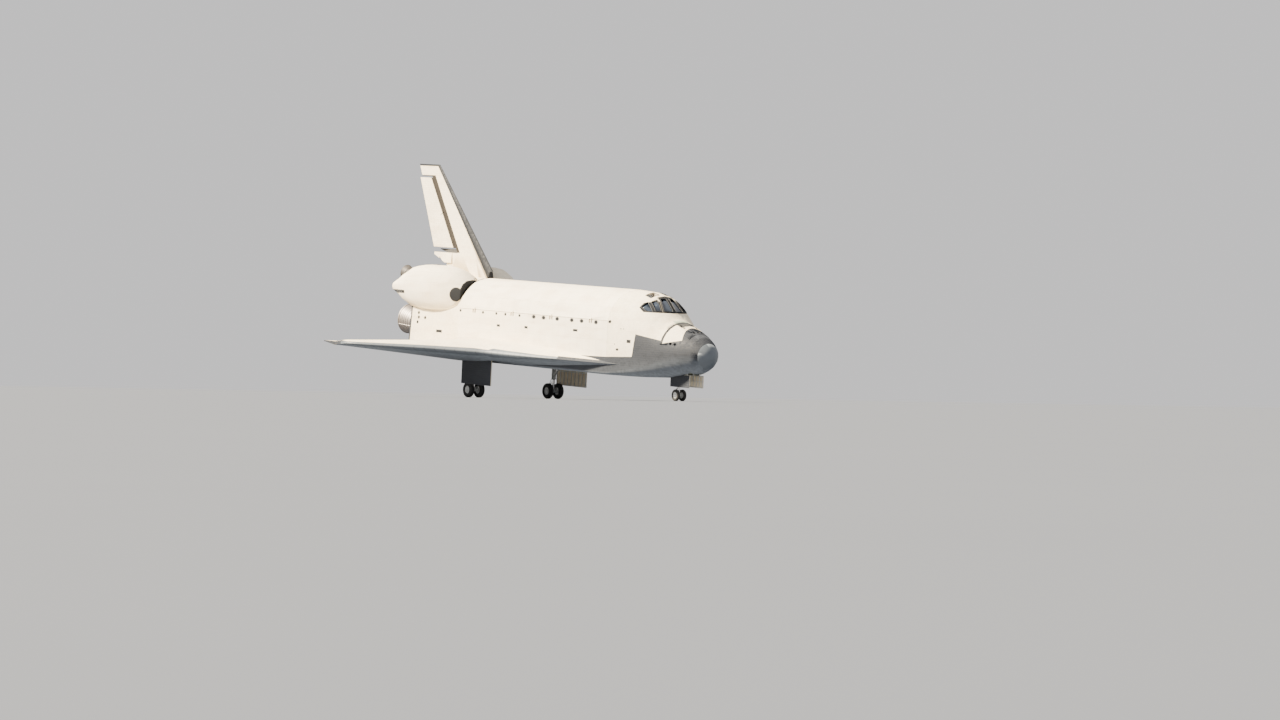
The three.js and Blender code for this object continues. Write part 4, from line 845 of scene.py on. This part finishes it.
def thrust_axis(pitch, toe):
    """Where a nozzle points, from degrees up and to the left."""
    up, left = radians(pitch), radians(toe)
    return direction(cos(up) * cos(left), sin(left), sin(up))


def bell_r(along, deep=False):
    """Radius of a bell; the upper one is slimmer where it leaves its deep dome."""
    r = NECK_R + (EXIT_R - NECK_R) * ((along - NECK) / (EXIT - NECK)) ** 0.6
    return min(r, 25.8 + (along - 90) * 0.544) if deep else r


def main_engine(name, sta, bl, wl, pitch, toe, dome, rim):
    """An engine with a dome of a radius, which ends at its rim, in degrees from the axis."""
    origin, axis = at(sta, bl, wl), thrust_axis(pitch, toe)
    node = f"main_engine_{name}"
    start = asin(DOME_MOUTH / dome)
    first = dome * cos(start)
    work = bmesh.new()
    lathe(work, [(-6, 0), (-6, 5.6), (-5, 6.5), (21, 14.6), (24, 15), (30, 14), (30, 0)], origin, axis, 48)
    ends = (start * 0.96, radians(rim))
    shell = arc(dome - DOME_WALL, *ends, 14) + arc(dome, *reversed(ends), 14)
    lathe(work, shell, origin, axis, 96, closed=True)
    add_piece(f"{node}_dome", work, "engine_blanket", node, [node])

    deep = dome > DEEP_DOME
    outer = [(64, 14.8), (81, 17.4), (84.6, 19.4), (87.6, 23.6)] if deep else [(NECK - 6, 17), (NECK, 19.4)]
    bands = [band for band in HATBANDS if band > first + 4]
    for i in range(BELL_STEPS):
        along = first + 1 + (EXIT - 4 - first) * i / BELL_STEPS
        if all(abs(along - band) > 1.6 for band in bands):
            outer.append((along, bell_r(along, deep)))
    for band in bands:
        for away, out in ((-1.1, 0.0), (-0.8, BAND_HEIGHT), (0.8, BAND_HEIGHT), (1.1, 0.0)):
            outer.append((band + away, bell_r(band + away, deep) + out))
    outer.sort()
    ring = [(EXIT - 3.4 - 1.7 * cos(a), EXIT_R + 0.9 * sin(a)) for a in (0, 0.8, 1.57, 2.3, 3.0)]
    inner = [(EXIT - 0.4, EXIT_R + 0.2), (EXIT, EXIT_R - 0.4)]
    inner += [(along, bell_r(along, deep) - BELL_WALL) for along in (150, 140, 128, 116, 104, 96)]
    if deep:
        inner += [(91, 25.2), (88, 22.6), (85, 18.2), (81, 16.2), (72, 14.4), (60, 13)]
    else:
        inner += [(along, bell_r(along) - BELL_WALL) for along in (94, 86, 80, 74, 70, 67)] + [(60, 15.8)]
    throat = [(52, 11.4), (45, 8.6), (40, 6.0), (37.5, 5.2), (35, 5.8), (31, 8.4), (31, 0)]
    work = bmesh.new()
    lathe(work, outer + ring + inner + throat, origin, axis, 96)
    for out in spokes(axis, 3, radians(25)):
        places = (first + 2, 104, 118, 134, 152)
        path = [origin + axis * (x * INCH) + out * ((bell_r(x, deep) + 0.3) * INCH) for x in places]
        tube(work, smooth_path(path), 1.05, 12)
    add_piece(f"{node}_bell", work, "heated_metal", node, [node], 28)


main_engine("centre", sta=1445, bl=0, wl=443, pitch=16, toe=0, dome=94, rim=21.5)
main_engine("left", sta=1468.2, bl=53, wl=342.6, pitch=10, toe=3.5, dome=73, rim=46)
main_engine("right", sta=1468.2, bl=-53, wl=342.6, pitch=10, toe=-3.5, dome=73, rim=46)

# Nozzles of the manoeuvring engines. Places along are from the throat.

NOZZLE_LENGTH = 46


def nozzle_r(along):
    return 6 + 15.8 * (along / NOZZLE_LENGTH) ** 0.72


def manoeuvring_nozzle(name, side):
    node = f"oms_nozzle_{name}"
    mount = [(-24, 0), (-24, 6.2), (-23.2, 7), (-8, 7), (-6, 5.6), (0, 6)]
    outer = [(along, nozzle_r(along)) for along in (2, 4, 7, 10, 14, 18, 22, 26, 30, 34, 38, 42)]
    for band in (16, 31):
        outer += [(band + away, nozzle_r(band + away)) for away in (-0.9, 0.9)]
        outer += [(band + away, nozzle_r(band) + BAND_HEIGHT) for away in (-0.6, 0.6)]
    end = [(44.6, 21.5), (45.2, 21.8), (NOZZLE_LENGTH, 21.6), (NOZZLE_LENGTH, 20.9)]
    inner = [(along, nozzle_r(along) - 0.8) for along in (42, 36, 30, 24, 18, 12, 8, 5)]
    throat = [(3, 4.2), (0, 2.7), (-3, 2.5), (-6, 3.6), (-7, 0)]
    work = bmesh.new()
    profile = mount + sorted(outer) + end + inner + throat
    lathe(work, profile, at(1562, side * 88, 492), thrust_axis(15, side * 6.5), 72)
    add_piece(f"{node}_fine", work, "dark_nozzle_metal", node, [node], 28)


for name, side in SIDES:
    manoeuvring_nozzle(name, side)

# Wheels

NOSE_WHEEL = {"sta": 378, "r": 16, "half": 4.4, "spread": 11, "rim": 8.4, "axle": 1.7, "bolts": 8}
MAIN_WHEEL = {"sta": 1166, "r": 22.25, "half": 8, "spread": 17.6, "rim": 10.8, "axle": 2.8, "bolts": 12}
MAIN_BL = 136
ACROSS = Vector((0, 1, 0))


def axle_wl(wheel):
    return GROUND_WL + (MID_STATION - wheel["sta"]) * tan(NOSE_DOWN) + wheel["r"] / COS


def tyre(node, wheel, bl):
    """A tyre from shares of its half width and of its wall, down from the tread."""
    r, half, rim = wheel["r"] - 0.03, wheel["half"] - 0.01, wheel["rim"]
    wall = r - rim
    groove, bead = 0.028 * wheel["r"] / wall, 1 + 0.1 / wall
    shares = (
        (0, 0), (0.09, 0), (0.11, groove), (0.17, groove), (0.19, 0), (0.36, 0.01), (0.38, groove),
        (0.45, groove), (0.47, 0.03), (0.58, 0.06), (0.70, 0.13), (0.82, 0.23), (0.92, 0.36), (0.98, 0.48),
        (1.0, 0.58), (0.97, 0.68), (0.965, 0.70), (0.93, 0.71), (0.84, 0.83), (0.72, 0.93), (0.66, 0.98),
        (0.60, bead),
    )
    face = [(out * half, r - down * wall) for out, down in shares]
    loop = face + [(-x, y) for x, y in reversed(face[1:])]
    work = bmesh.new()
    lathe(work, loop, at(wheel["sta"], bl, axle_wl(wheel)), ACROSS, 96, closed=True)
    add_piece(f"{node}_fine", work, "worn_rubber", node, [node], 40)


# A hub's profile: inches past its half width, and share of the rim's radius
HUB_FACE = ((-1.6, 0.44), (-2.1, 0.58), (-1.9, 0.72), (-0.7, 0.84), (0.1, 0.90))
FLANGE = ((0.25, 0.97), (-0.2, 0.995), (-0.9, 0.985), (-1.4, 0.93))
HUB_BACK = ((0, 0.90), (-0.8, 0.84), (-1.4, 0.70), (-1.0, 0.5))


def hubs(node, wheel, middle):
    sta, rim, h, axle = wheel["sta"], wheel["rim"], wheel["half"] * 0.58, wheel["axle"]
    wl = axle_wl(wheel)
    work = bmesh.new()
    for side in (-1, 1):
        centre = at(sta, middle + side * wheel["spread"], wl)
        out = ACROSS * side
        profile = [(h, 0), (h, axle + 0.9), (h - 0.4, axle + 1.5)]
        profile += [(h + away, share * rim) for away, share in HUB_FACE + FLANGE]
        profile += [(-h - away, share * rim) for away, share in FLANGE[::-1] + HUB_BACK]
        profile += [(0.2 - h, axle + 1.4), (0.2 - h, 0)]
        lathe(work, profile, centre, out, 72)
        for spoke in fan(Vector((1, 0, 0)), Vector((0, 0, 1)), wheel["bolts"]):
            foot = centre + out * ((h - 2.3) * INCH) + spoke * (0.60 * rim * INCH)
            bar(work, foot, foot + out * (0.95 * INCH), 0.075 * rim, segments=6, edge=0.1)
            rib = centre + out * ((h - 1.9) * INCH)
            ends = (rib + spoke * (share * rim * INCH) for share in (0.3, 0.80))
            bar(work, *ends, 0.05 * rim, segments=8)
    reach = wheel["spread"] + wheel["half"] * 0.62
    crossbar(work, sta, middle, wl, reach, axle)
    for side in (-1, 1):
        start, end = (at(sta, middle + side * (reach + away), wl) for away in (-2, 1))
        bar(work, start, end, axle + 1.5, axle + 1.0, 32, 0.5)
        bar(work, end, end + ACROSS * (side * 0.25 * INCH), 0.7, segments=6, edge=0.1)
    add_piece(f"{node}_fine", work, "gear_enamel", node, [node], 35)


for name, side in SIDES:
    tyre(f"nose_tyre_{name}", NOSE_WHEEL, side * NOSE_WHEEL["spread"])
    tyre(f"main_tyre_inner_{name}", MAIN_WHEEL, side * (MAIN_BL - MAIN_WHEEL["spread"]))
    tyre(f"main_tyre_outer_{name}", MAIN_WHEEL, side * (MAIN_BL + MAIN_WHEEL["spread"]))
    hubs(f"main_gear_hubs_{name}", MAIN_WHEEL, side * MAIN_BL)
hubs("nose_gear_hubs", NOSE_WHEEL, 0)

# Legs

def collar(work, sta, bl, wl, r, half):
    """A band round an upright cylinder, with two clamp bolts."""
    upright(work, sta, bl, wl - half, wl + half, r, 40, 0.25)
    for side in (-1, 1):
        ends = (at(sta - r + away, bl + side * 1.1, wl) for away in (-0.9, 0.6))
        bar(work, *ends, 0.45, segments=6)


def leg_hose(work, sta, bl, wls, r, out, thick=0.42):
    """A hose clipped down an upright cylinder."""
    places = [at(sta + out[0] * (r + thick), bl + out[1] * (r + thick), wl) for wl in wls]
    tube(work, smooth_path(places, 5), thick)


def nose_leg():
    node = "nose_gear_strut"
    sta, well_half, cylinder_r, collar_r = NOSE_WHEEL["sta"], 23.8, 4.4, 4.85
    brace_sta, brace_wl = 325, 309
    work = bmesh.new()
    upright(work, sta, 0, 250, 314, cylinder_r, edge=0.5)
    for wl in (252.5, 262, 286, 301):
        collar(work, sta, 0, wl, collar_r, 0.9)
    crossbar(work, sta, 0, 306, well_half, 2.4)
    bar(work, at(sta, 0, 258), at(brace_sta, 0, brace_wl), 2.2)
    crossbar(work, brace_sta, 0, brace_wl, well_half, 2.0)
    for side in (-1, 1):
        bar(work, at(sta, side * 3.5, 274), at(sta - 1, side * 20, 305), 1.1, segments=20)
        plate(work, [(sta - 6, 312), (sta + 6, 312), (sta + 3, 302), (sta - 3, 302)], side * 21.2, 1)
    plate(work, [(sta - 4, 262), (sta - 16, 268), (sta - 16, 275), (sta - 4, 279)], 0, 1.6)
    add_piece(f"{node}_fine", work, "gear_enamel", node, [node])
    work = bmesh.new()
    for side in (-1, 1):
        leg_hose(work, sta, 0, (254, 266, 280, 294, 303), collar_r, (0.35, side * 0.9))
    tube(work, smooth_path([at(sta - 4, 2.4, 300), at(352, 3.2, 291), at(336, 3, 303)]), 0.4)
    add_piece("nose_gear_hoses", work, "black_hose", node)


def nose_fork():
    node = "nose_gear_steering"
    sta, wl = NOSE_WHEEL["sta"], axle_wl(NOSE_WHEEL)
    work = bmesh.new()
    upright(work, sta, 0, wl + 1.5, 290.6, 2.55, 40)
    add_piece("nose_gear_piston", work, "polished_piston", node, [node])
    work = bmesh.new()
    crossbar(work, sta, 0, wl, 4.4, 3.2, 40, 0.5)
    bar(work, at(sta, 0, wl), at(sta, 0, wl + 6.5), 3.15, 2.9, 40)
    upright(work, sta, 0, 246.6, 249.7, 4.2, 40, 0.4)
    upper_link = [(sta + 3, 248.6), (sta + 4.4, 245.8), (sta + 12.4, 239.2), (sta + 13, 241)]
    lower_link = [(sta + 2.2, wl + 3.4), (sta + 3.2, wl + 0.6), (sta + 13, 239), (sta + 12.2, 241)]
    for side in (-1, 1):
        plate(work, upper_link, side * 1.7, 0.45)
        plate(work, lower_link, side * 0.8, 0.35)
    crossbar(work, sta + 12.4, 0, 240, 2.6, 0.9, 16)
    crossbar(work, sta + 3.6, 0, 247.4, 2.4, 0.7, 16)
    crossbar(work, sta + 2.8, 0, wl + 2, 2.0, 0.7, 16)
    add_piece(f"{node}_fine", work, "gear_enamel", node, [node])


def main_leg(name, side):
    node = f"main_gear_strut_{name}"
    sta, bl, wl = MAIN_WHEEL["sta"], side * MAIN_BL, axle_wl(MAIN_WHEEL)
    brace_sta, brace_wl, collar_r = 1086, 308, 6.75
    well_bl, well_half = side * 136.55, side * 28.25
    work = bmesh.new()
    upright(work, sta, bl, 222, 315.8, 6.2, 56, 0.6)
    for height in (224.5, 236, 262, 290):
        collar(work, sta, bl, height, collar_r, 1.2)
    crossbar(work, sta, bl, wl, 7, 5, 48, 0.6)
    bar(work, at(sta, bl, wl), at(sta, bl, wl + 9), 4.9, 4.5, 48, 0.4)
    bar(work, at(sta, bl, 230), at(brace_sta, bl, brace_wl), 3, segments=36)
    crossbar(work, sta, well_bl, 302, well_half, 3.4, 36)
    crossbar(work, brace_sta, well_bl, brace_wl, well_half, 2.6)
    upper_link = [(sta + 4.6, 227), (sta + 6, 222.6), (sta + 14, 208.4), (sta + 15.6, 210.4)]
    lower_link = [(sta + 3.6, wl + 6), (sta + 4.8, wl + 2.2), (sta + 15.6, 208), (sta + 14, 210.4)]
    cheek = [(sta - 8, 315), (sta + 8, 315), (sta + 4, 298), (sta - 4, 298)]
    for away in (-1, 1):
        plate(work, upper_link, bl + away * 2.6, 0.6)
        plate(work, lower_link, bl + away * 1.3, 0.55)
        bar(work, at(sta - 1, bl + away * 4, 268), at(sta - 2, bl + away * 24, 301), 1.5, segments=20)
        plate(work, cheek, bl + away * 26, 1)
    crossbar(work, sta + 14.8, bl, 209.3, 3.8, 1.2, 20)
    crossbar(work, sta + 5.3, bl, 224.6, 3.6, 1.0, 16)
    crossbar(work, sta + 4.2, bl, wl + 4, 3.2, 1.0, 16)
    add_piece(f"{node}_fine", work, "gear_enamel", node, [node])
    work = bmesh.new()
    upright(work, sta, bl, wl + 4, 226, 4)
    add_piece(f"main_gear_piston_{name}", work, "polished_piston", node)
    work = bmesh.new()
    for away in (-1, 1):
        leg_hose(work, sta, bl, (226, 240, 258, 276, 294), collar_r, (-0.5, away * 0.86), 0.5)
        brake_line = [(4, 5.6, 226), (8, 7.5, 214), (7, 7, wl + 8), (4, 5.4, wl + 1)]
        tube(work, smooth_path([at(sta - s, bl + away * b, w) for s, b, w in brake_line]), 0.5)
    add_piece(f"main_gear_hoses_{name}", work, "black_hose", node)


nose_leg()
nose_fork()
for name, side in SIDES:
    main_leg(name, side)

# Gear doors: frames and ribs on their inner faces, and their arms into the wells

RAIL, RIB_HALF, ARM_HALF, DOOR_MARGIN = 1.6, 0.7, 1.1, 0.8


def door_frame(node, side, sta, face, wl, depth, ribs, arm_top):
    """Rails, ribs and arms inside a door, whose inner face is at a distance from the middle."""
    work = bmesh.new()
    bottom, top = wl[0] + DOOR_MARGIN, wl[1] - DOOR_MARGIN
    thick = sorted((side * face, side * (face - depth)))
    for low in (bottom, (wl[0] + wl[1]) / 2, top - RAIL):
        box(work, (sta[0] + 1.5, sta[1] - 1.5), thick, (low, low + RAIL))
    for k in range(ribs):
        s = mix(sta[0] + 2.4, sta[1] - 2.4, k / (ribs - 1))
        box(work, (s - RIB_HALF, s + RIB_HALF), thick, (bottom, top))
    for share in (0.18, 0.5, 0.82):
        s = mix(sta[0], sta[1], share)
        arm = sorted((side * (face - 0.3), side * (face - depth - 1.5)))
        box(work, (s - ARM_HALF, s + ARM_HALF), arm, (wl[1] - 12, arm_top))
    add_piece(f"{node}_ribs", work, "gear_enamel", node, bevel=0.004)


for name, side in SIDES:
    door_frame(f"nose_gear_door_{name}", side, (302, 388), 22.25, (248, 282), 1.3, ribs=7, arm_top=291)
    door_frame(f"main_gear_door_{name}", side, (1042, 1189), 162.8, (206, 286), 1.8, ribs=9, arm_top=297)

# Small thrusters: a liner in each port of the nose, and ports on the pods

def toward(tree, centre, axis, reach=3.0):
    """Where a ray that comes in along an axis meets a surface."""
    start = centre + axis * reach
    place, normal, _, _ = tree.ray_cast(start, -axis, reach * 3)
    return place, normal


def liners():
    node = "forward_thruster_module"
    tree = tree_of(node, "forward_fuselage")
    ports = [(at(sta, bl, 408), direction(0, 0, 1), 3.8) for bl in (-20, 20) for sta in (340, 354)]
    ports += [(at(305, bl, 398), direction(-0.55, 0, 1), 4.0) for bl in (-13, 0, 13)]
    for side in (-1, 1):
        ports += [(at(sta, side * 66, 365), direction(0, side, 0.2), 3.8) for sta in (326, 340)]
    cups, rims = bmesh.new(), bmesh.new()
    for centre, axis, r in ports:
        rim, depths = [], []
        for spoke in spokes(axis, 32):
            place, _ = toward(tree, centre + spoke * ((r + 0.35) * INCH), axis)
            rim.append(place - spoke * (0.15 * INCH))
            depths.append((place - centre).dot(axis) / INCH)
        low = min(depths)
        lathe(cups, [
            (low - 0.3, r - 0.05), (low - 0.3, r - 0.45), (low - 2.5, 0.78 * r), (low - 5, 0.52 * r),
            (low - 6.4, 0.30 * r), (low - 6.6, 0), (low - 7.2, 0), (low - 7.2, 0.5 * r), (low - 2, r - 0.05),
        ], centre, axis, 32)
        tube(rims, rim, 0.34, 8, closed=True)
    add_piece("nose_thruster_liners", cups, "sooty_metal", node)
    add_piece("nose_thruster_rims", rims, "black_tiles", node)


def pod_ports(name, side):
    node = f"oms_pod_{name}"
    tree = tree_of(node)
    places = [(at(sta, side * 150, 450), direction(0, side, 0), 3.6) for sta in (1545, 1555, 1565, 1575)]
    for sta in (1548, 1559, 1570):
        places += [(at(sta, side * 112, 500), direction(0, 0, 1), 3.4)]
        places += [(at(sta, side * 118, 440), direction(0, 0, -1), 3.4)]
    places += [(at(1595, side * bl, 468), direction(1, 0, 0), 3.6) for bl in (108, 122)]
    cups, rims = bmesh.new(), bmesh.new()
    for centre, axis, r in places:
        place, normal = toward(tree, centre, axis)
        if normal.dot(axis) < 0:
            normal = -normal
        rim = [(-0.6, r + 0.9), (0.25, r + 0.9), (0.6, r + 0.4), (0.5, r), (0.1, r - 0.3), (-0.6, r - 0.3)]
        lathe(rims, rim, place, normal, 32, closed=True)
        lathe(cups, [(-0.5, 0), (-0.5, r), (0.35, r), (0.22, 0.6 * r), (0.16, 0)], place, normal, 32)
    add_piece(f"{node}_port_rims", rims, "black_tiles", node)
    add_piece(f"{node}_port_cups", cups, "sooty_metal", node)


liners()
for name, side in SIDES:
    pod_ports(name, side)

# Window frames, along the edges of the panes on the hull

# The hull's sections: station, half width, water line of the shoulder and of the crown
SECTIONS = ((385, 79.5, 350, 425), (400, 82, 353, 430), (422, 86, 359, 455.5), (446, 90, 367, 478),
            (470, 93.6, 377, 490.5), (505, 98, 390, 497.5), (578, 104, 405, 501))
# The corners of the panes: station, and degrees up round the section
WINDOWS = (((415, 87), (421, 68.5), (457, 77), (454, 87)), ((425, 64), (434, 54.5), (463, 60.5), (458, 71.5)),
           ((438, 50), (452, 43), (477, 44), (471, 56.5)), ((476, 84), (476, 66), (502, 67), (502, 84)))


def on_hull(sta, angle, side, lift=0.0):
    """A place on the upper hull, or lifted off it."""
    for a, b in zip(SECTIONS, SECTIONS[1:]):
        if a[0] <= sta <= b[0]:
            share = (sta - a[0]) / (b[0] - a[0])
            half, shoulder, crown = (mix(a[k], b[k], share) for k in (1, 2, 3))
    turn = radians(angle)
    out, rise = (half + lift) * cos(turn), (crown + lift - shoulder) * sin(turn)
    return at(sta, side * out, shoulder + rise)


def window_frames():
    work = bmesh.new()
    for corners in WINDOWS:
        for side in (-1, 1):
            loop = []
            for (sta0, a0), (sta1, a1) in zip(corners, corners[1:] + corners[:1]):
                for k in range(8):
                    share = 0.06 + 0.88 * k / 7
                    loop.append(on_hull(mix(sta0, sta1, share), mix(a0, a1, share), side, 0.05))
            tube(work, loop, 0.75, 8, closed=True)
    add_piece("window_frames", work, "window_frame", "forward_fuselage")


window_frames()

# The bay: frames and longerons on its liner

BAY_HALF, BAY_DEPTH, SILL_WL = 92.5, 98, 405
FRAMES, FIRST_FRAME, FRAME_PITCH, FRAME_HALF = 13, 590, 59, 1.1


def bay_frames():
    work = bmesh.new()
    turns = [radians(mix(-90, 90, k / 28)) for k in range(29)]
    for k in range(FRAMES):
        rows = []
        for away, depth in ((-FRAME_HALF, 0.3), (-FRAME_HALF, 4.2), (FRAME_HALF, 4.2), (FRAME_HALF, 0.3)):
            sta, half, drop = FIRST_FRAME + k * FRAME_PITCH + away, BAY_HALF - depth, BAY_DEPTH - depth
            places = [at(sta, half * sin(a), SILL_WL - drop * cos(a)) for a in turns]
            rows.append([work.verts.new(place) for place in places])
        for low, high in zip(rows, rows[1:] + rows[:1]):
            for i in range(len(turns) - 1):
                work.faces.new((low[i], low[i + 1], high[i + 1], high[i]))
        for end in (0, -1):
            work.faces.new([row[end] for row in rows])
    for side in (-1, 1):
        for wl, out in ((400, 0.9985), (352, 0.835), (318, 0.45)):
            y = side * (BAY_HALF * out - 2.6)
            tube(work, [at(586, y, wl), at(1304, y, wl)], 1.3, 12)
    add_piece("bay_frames", work, "bay_liner", "mid_fuselage")


bay_frames()

# The hatch: a ring round its pane

def hatch_ring():
    node, r = "crew_hatch", 6.2
    tree = tree_of(node)
    centre, out = at(492, 110, 345), direction(0, 1, 0)
    around = fan(direction(1, 0, 0), direction(0, 0, 1), 40)
    work = bmesh.new()
    tube(work, [toward(tree, centre + spoke * (r * INCH), out)[0] for spoke in around], 0.7, 8, closed=True)
    add_piece("hatch_pane_ring", work, "black_tiles", node)


hatch_ring()

# The dark seal under the rudder, on the fin's foot, also standing as painted shade in the recess there

def rudder_seat():
    """A block that narrows aft, and two rails ahead of it."""
    work = bmesh.new()
    low, high, front, back = 566.2, 576.6, 1496, 1570
    outline = [(front, low), (front, high), (back, high), (back, high - 1.5), (1530, low)]
    slab(work, *(
        [at(s, side * mix(8.0, 1.6, (s - front) / 80), w) for s, w in outline] for side in (-1, 1)
    ))
    for side in (-1, 1):
        box(work, (1474, 1497), sorted((side * 6.6, side * 7.8)), (low, high))
    # Painted shade: the dark block also stands for the shade in the recess under the rudder
    add_piece("rudder_shade_and_seal_block", work, "sooty_metal", "vertical_fin")


rudder_seat()

# Floor, light and camera

REACH = 1500
floor_mesh = bpy.data.meshes.new("floor")
corners = [(-REACH, -REACH, 0), (REACH, -REACH, 0), (REACH, REACH, 0), (-REACH, REACH, 0)]
floor_mesh.from_pydata(corners, [], [(0, 1, 2, 3)])
floor = add_object("floor", floor_mesh)
g = Graph("studio_floor")
patchy = g.add(0.97, g.mul(g.noise(0.3, 3), 0.06))
floor_mesh.materials.append(g.finish(g.shade(rgb(0.095, 0.107, 0.134), patchy), 0.9))

world = bpy.data.worlds.new("studio")
bpy.context.scene.world = world
world.use_nodes = True
sky = world.node_tree.nodes["Background"]
sky.inputs[0].default_value = rgb(0.82, 0.81, 0.815)
sky.inputs[1].default_value = 1.0

SUN_AZIMUTH, SUN_ELEVATION = radians(-33), radians(42)
sun = bpy.data.lights.new("key", "SUN")
sun.energy, sun.angle, sun.color = 27.0, radians(8), (1.0, 0.875, 0.67)
height, reach = sin(SUN_ELEVATION), cos(SUN_ELEVATION)
towards = Vector((sin(SUN_AZIMUTH) * reach, -cos(SUN_AZIMUTH) * reach, height))
add_object("key", sun).rotation_euler = towards.to_track_quat("Z", "Y").to_euler()

AZIMUTH, DISTANCE, EYE = radians(54.99), 340, 0.3
FOCAL_PX, CENTRE_PX, ROLL = 4785.88, (557.72, 394.79), radians(0.98)
WIDTH_PX, HEIGHT_PX, SENSOR = 1280, 720, 36
optics = bpy.data.cameras.new("camera")
camera = add_object("camera", optics)
bpy.context.scene.camera = camera
optics.sensor_width = SENSOR
optics.lens = FOCAL_PX / WIDTH_PX * SENSOR
optics.clip_end = 4000
ahead = Vector((-sin(AZIMUTH), cos(AZIMUTH), 0))
level = Vector((cos(AZIMUTH), sin(AZIMUTH), 0))
above = Vector((0, 0, 1))
right = level * cos(ROLL) + above * sin(ROLL)
up = above * cos(ROLL) - level * sin(ROLL)
aim = right * (WIDTH_PX / 2 - CENTRE_PX[0]) + up * (CENTRE_PX[1] - HEIGHT_PX / 2)
look = (ahead * FOCAL_PX + aim).normalized()
right = look.cross(up).normalized()
up = right.cross(look).normalized()
turn = Matrix((right, up, -look)).transposed().to_4x4()
camera.matrix_world = Matrix.Translation(-ahead * DISTANCE + above * EYE) @ turn
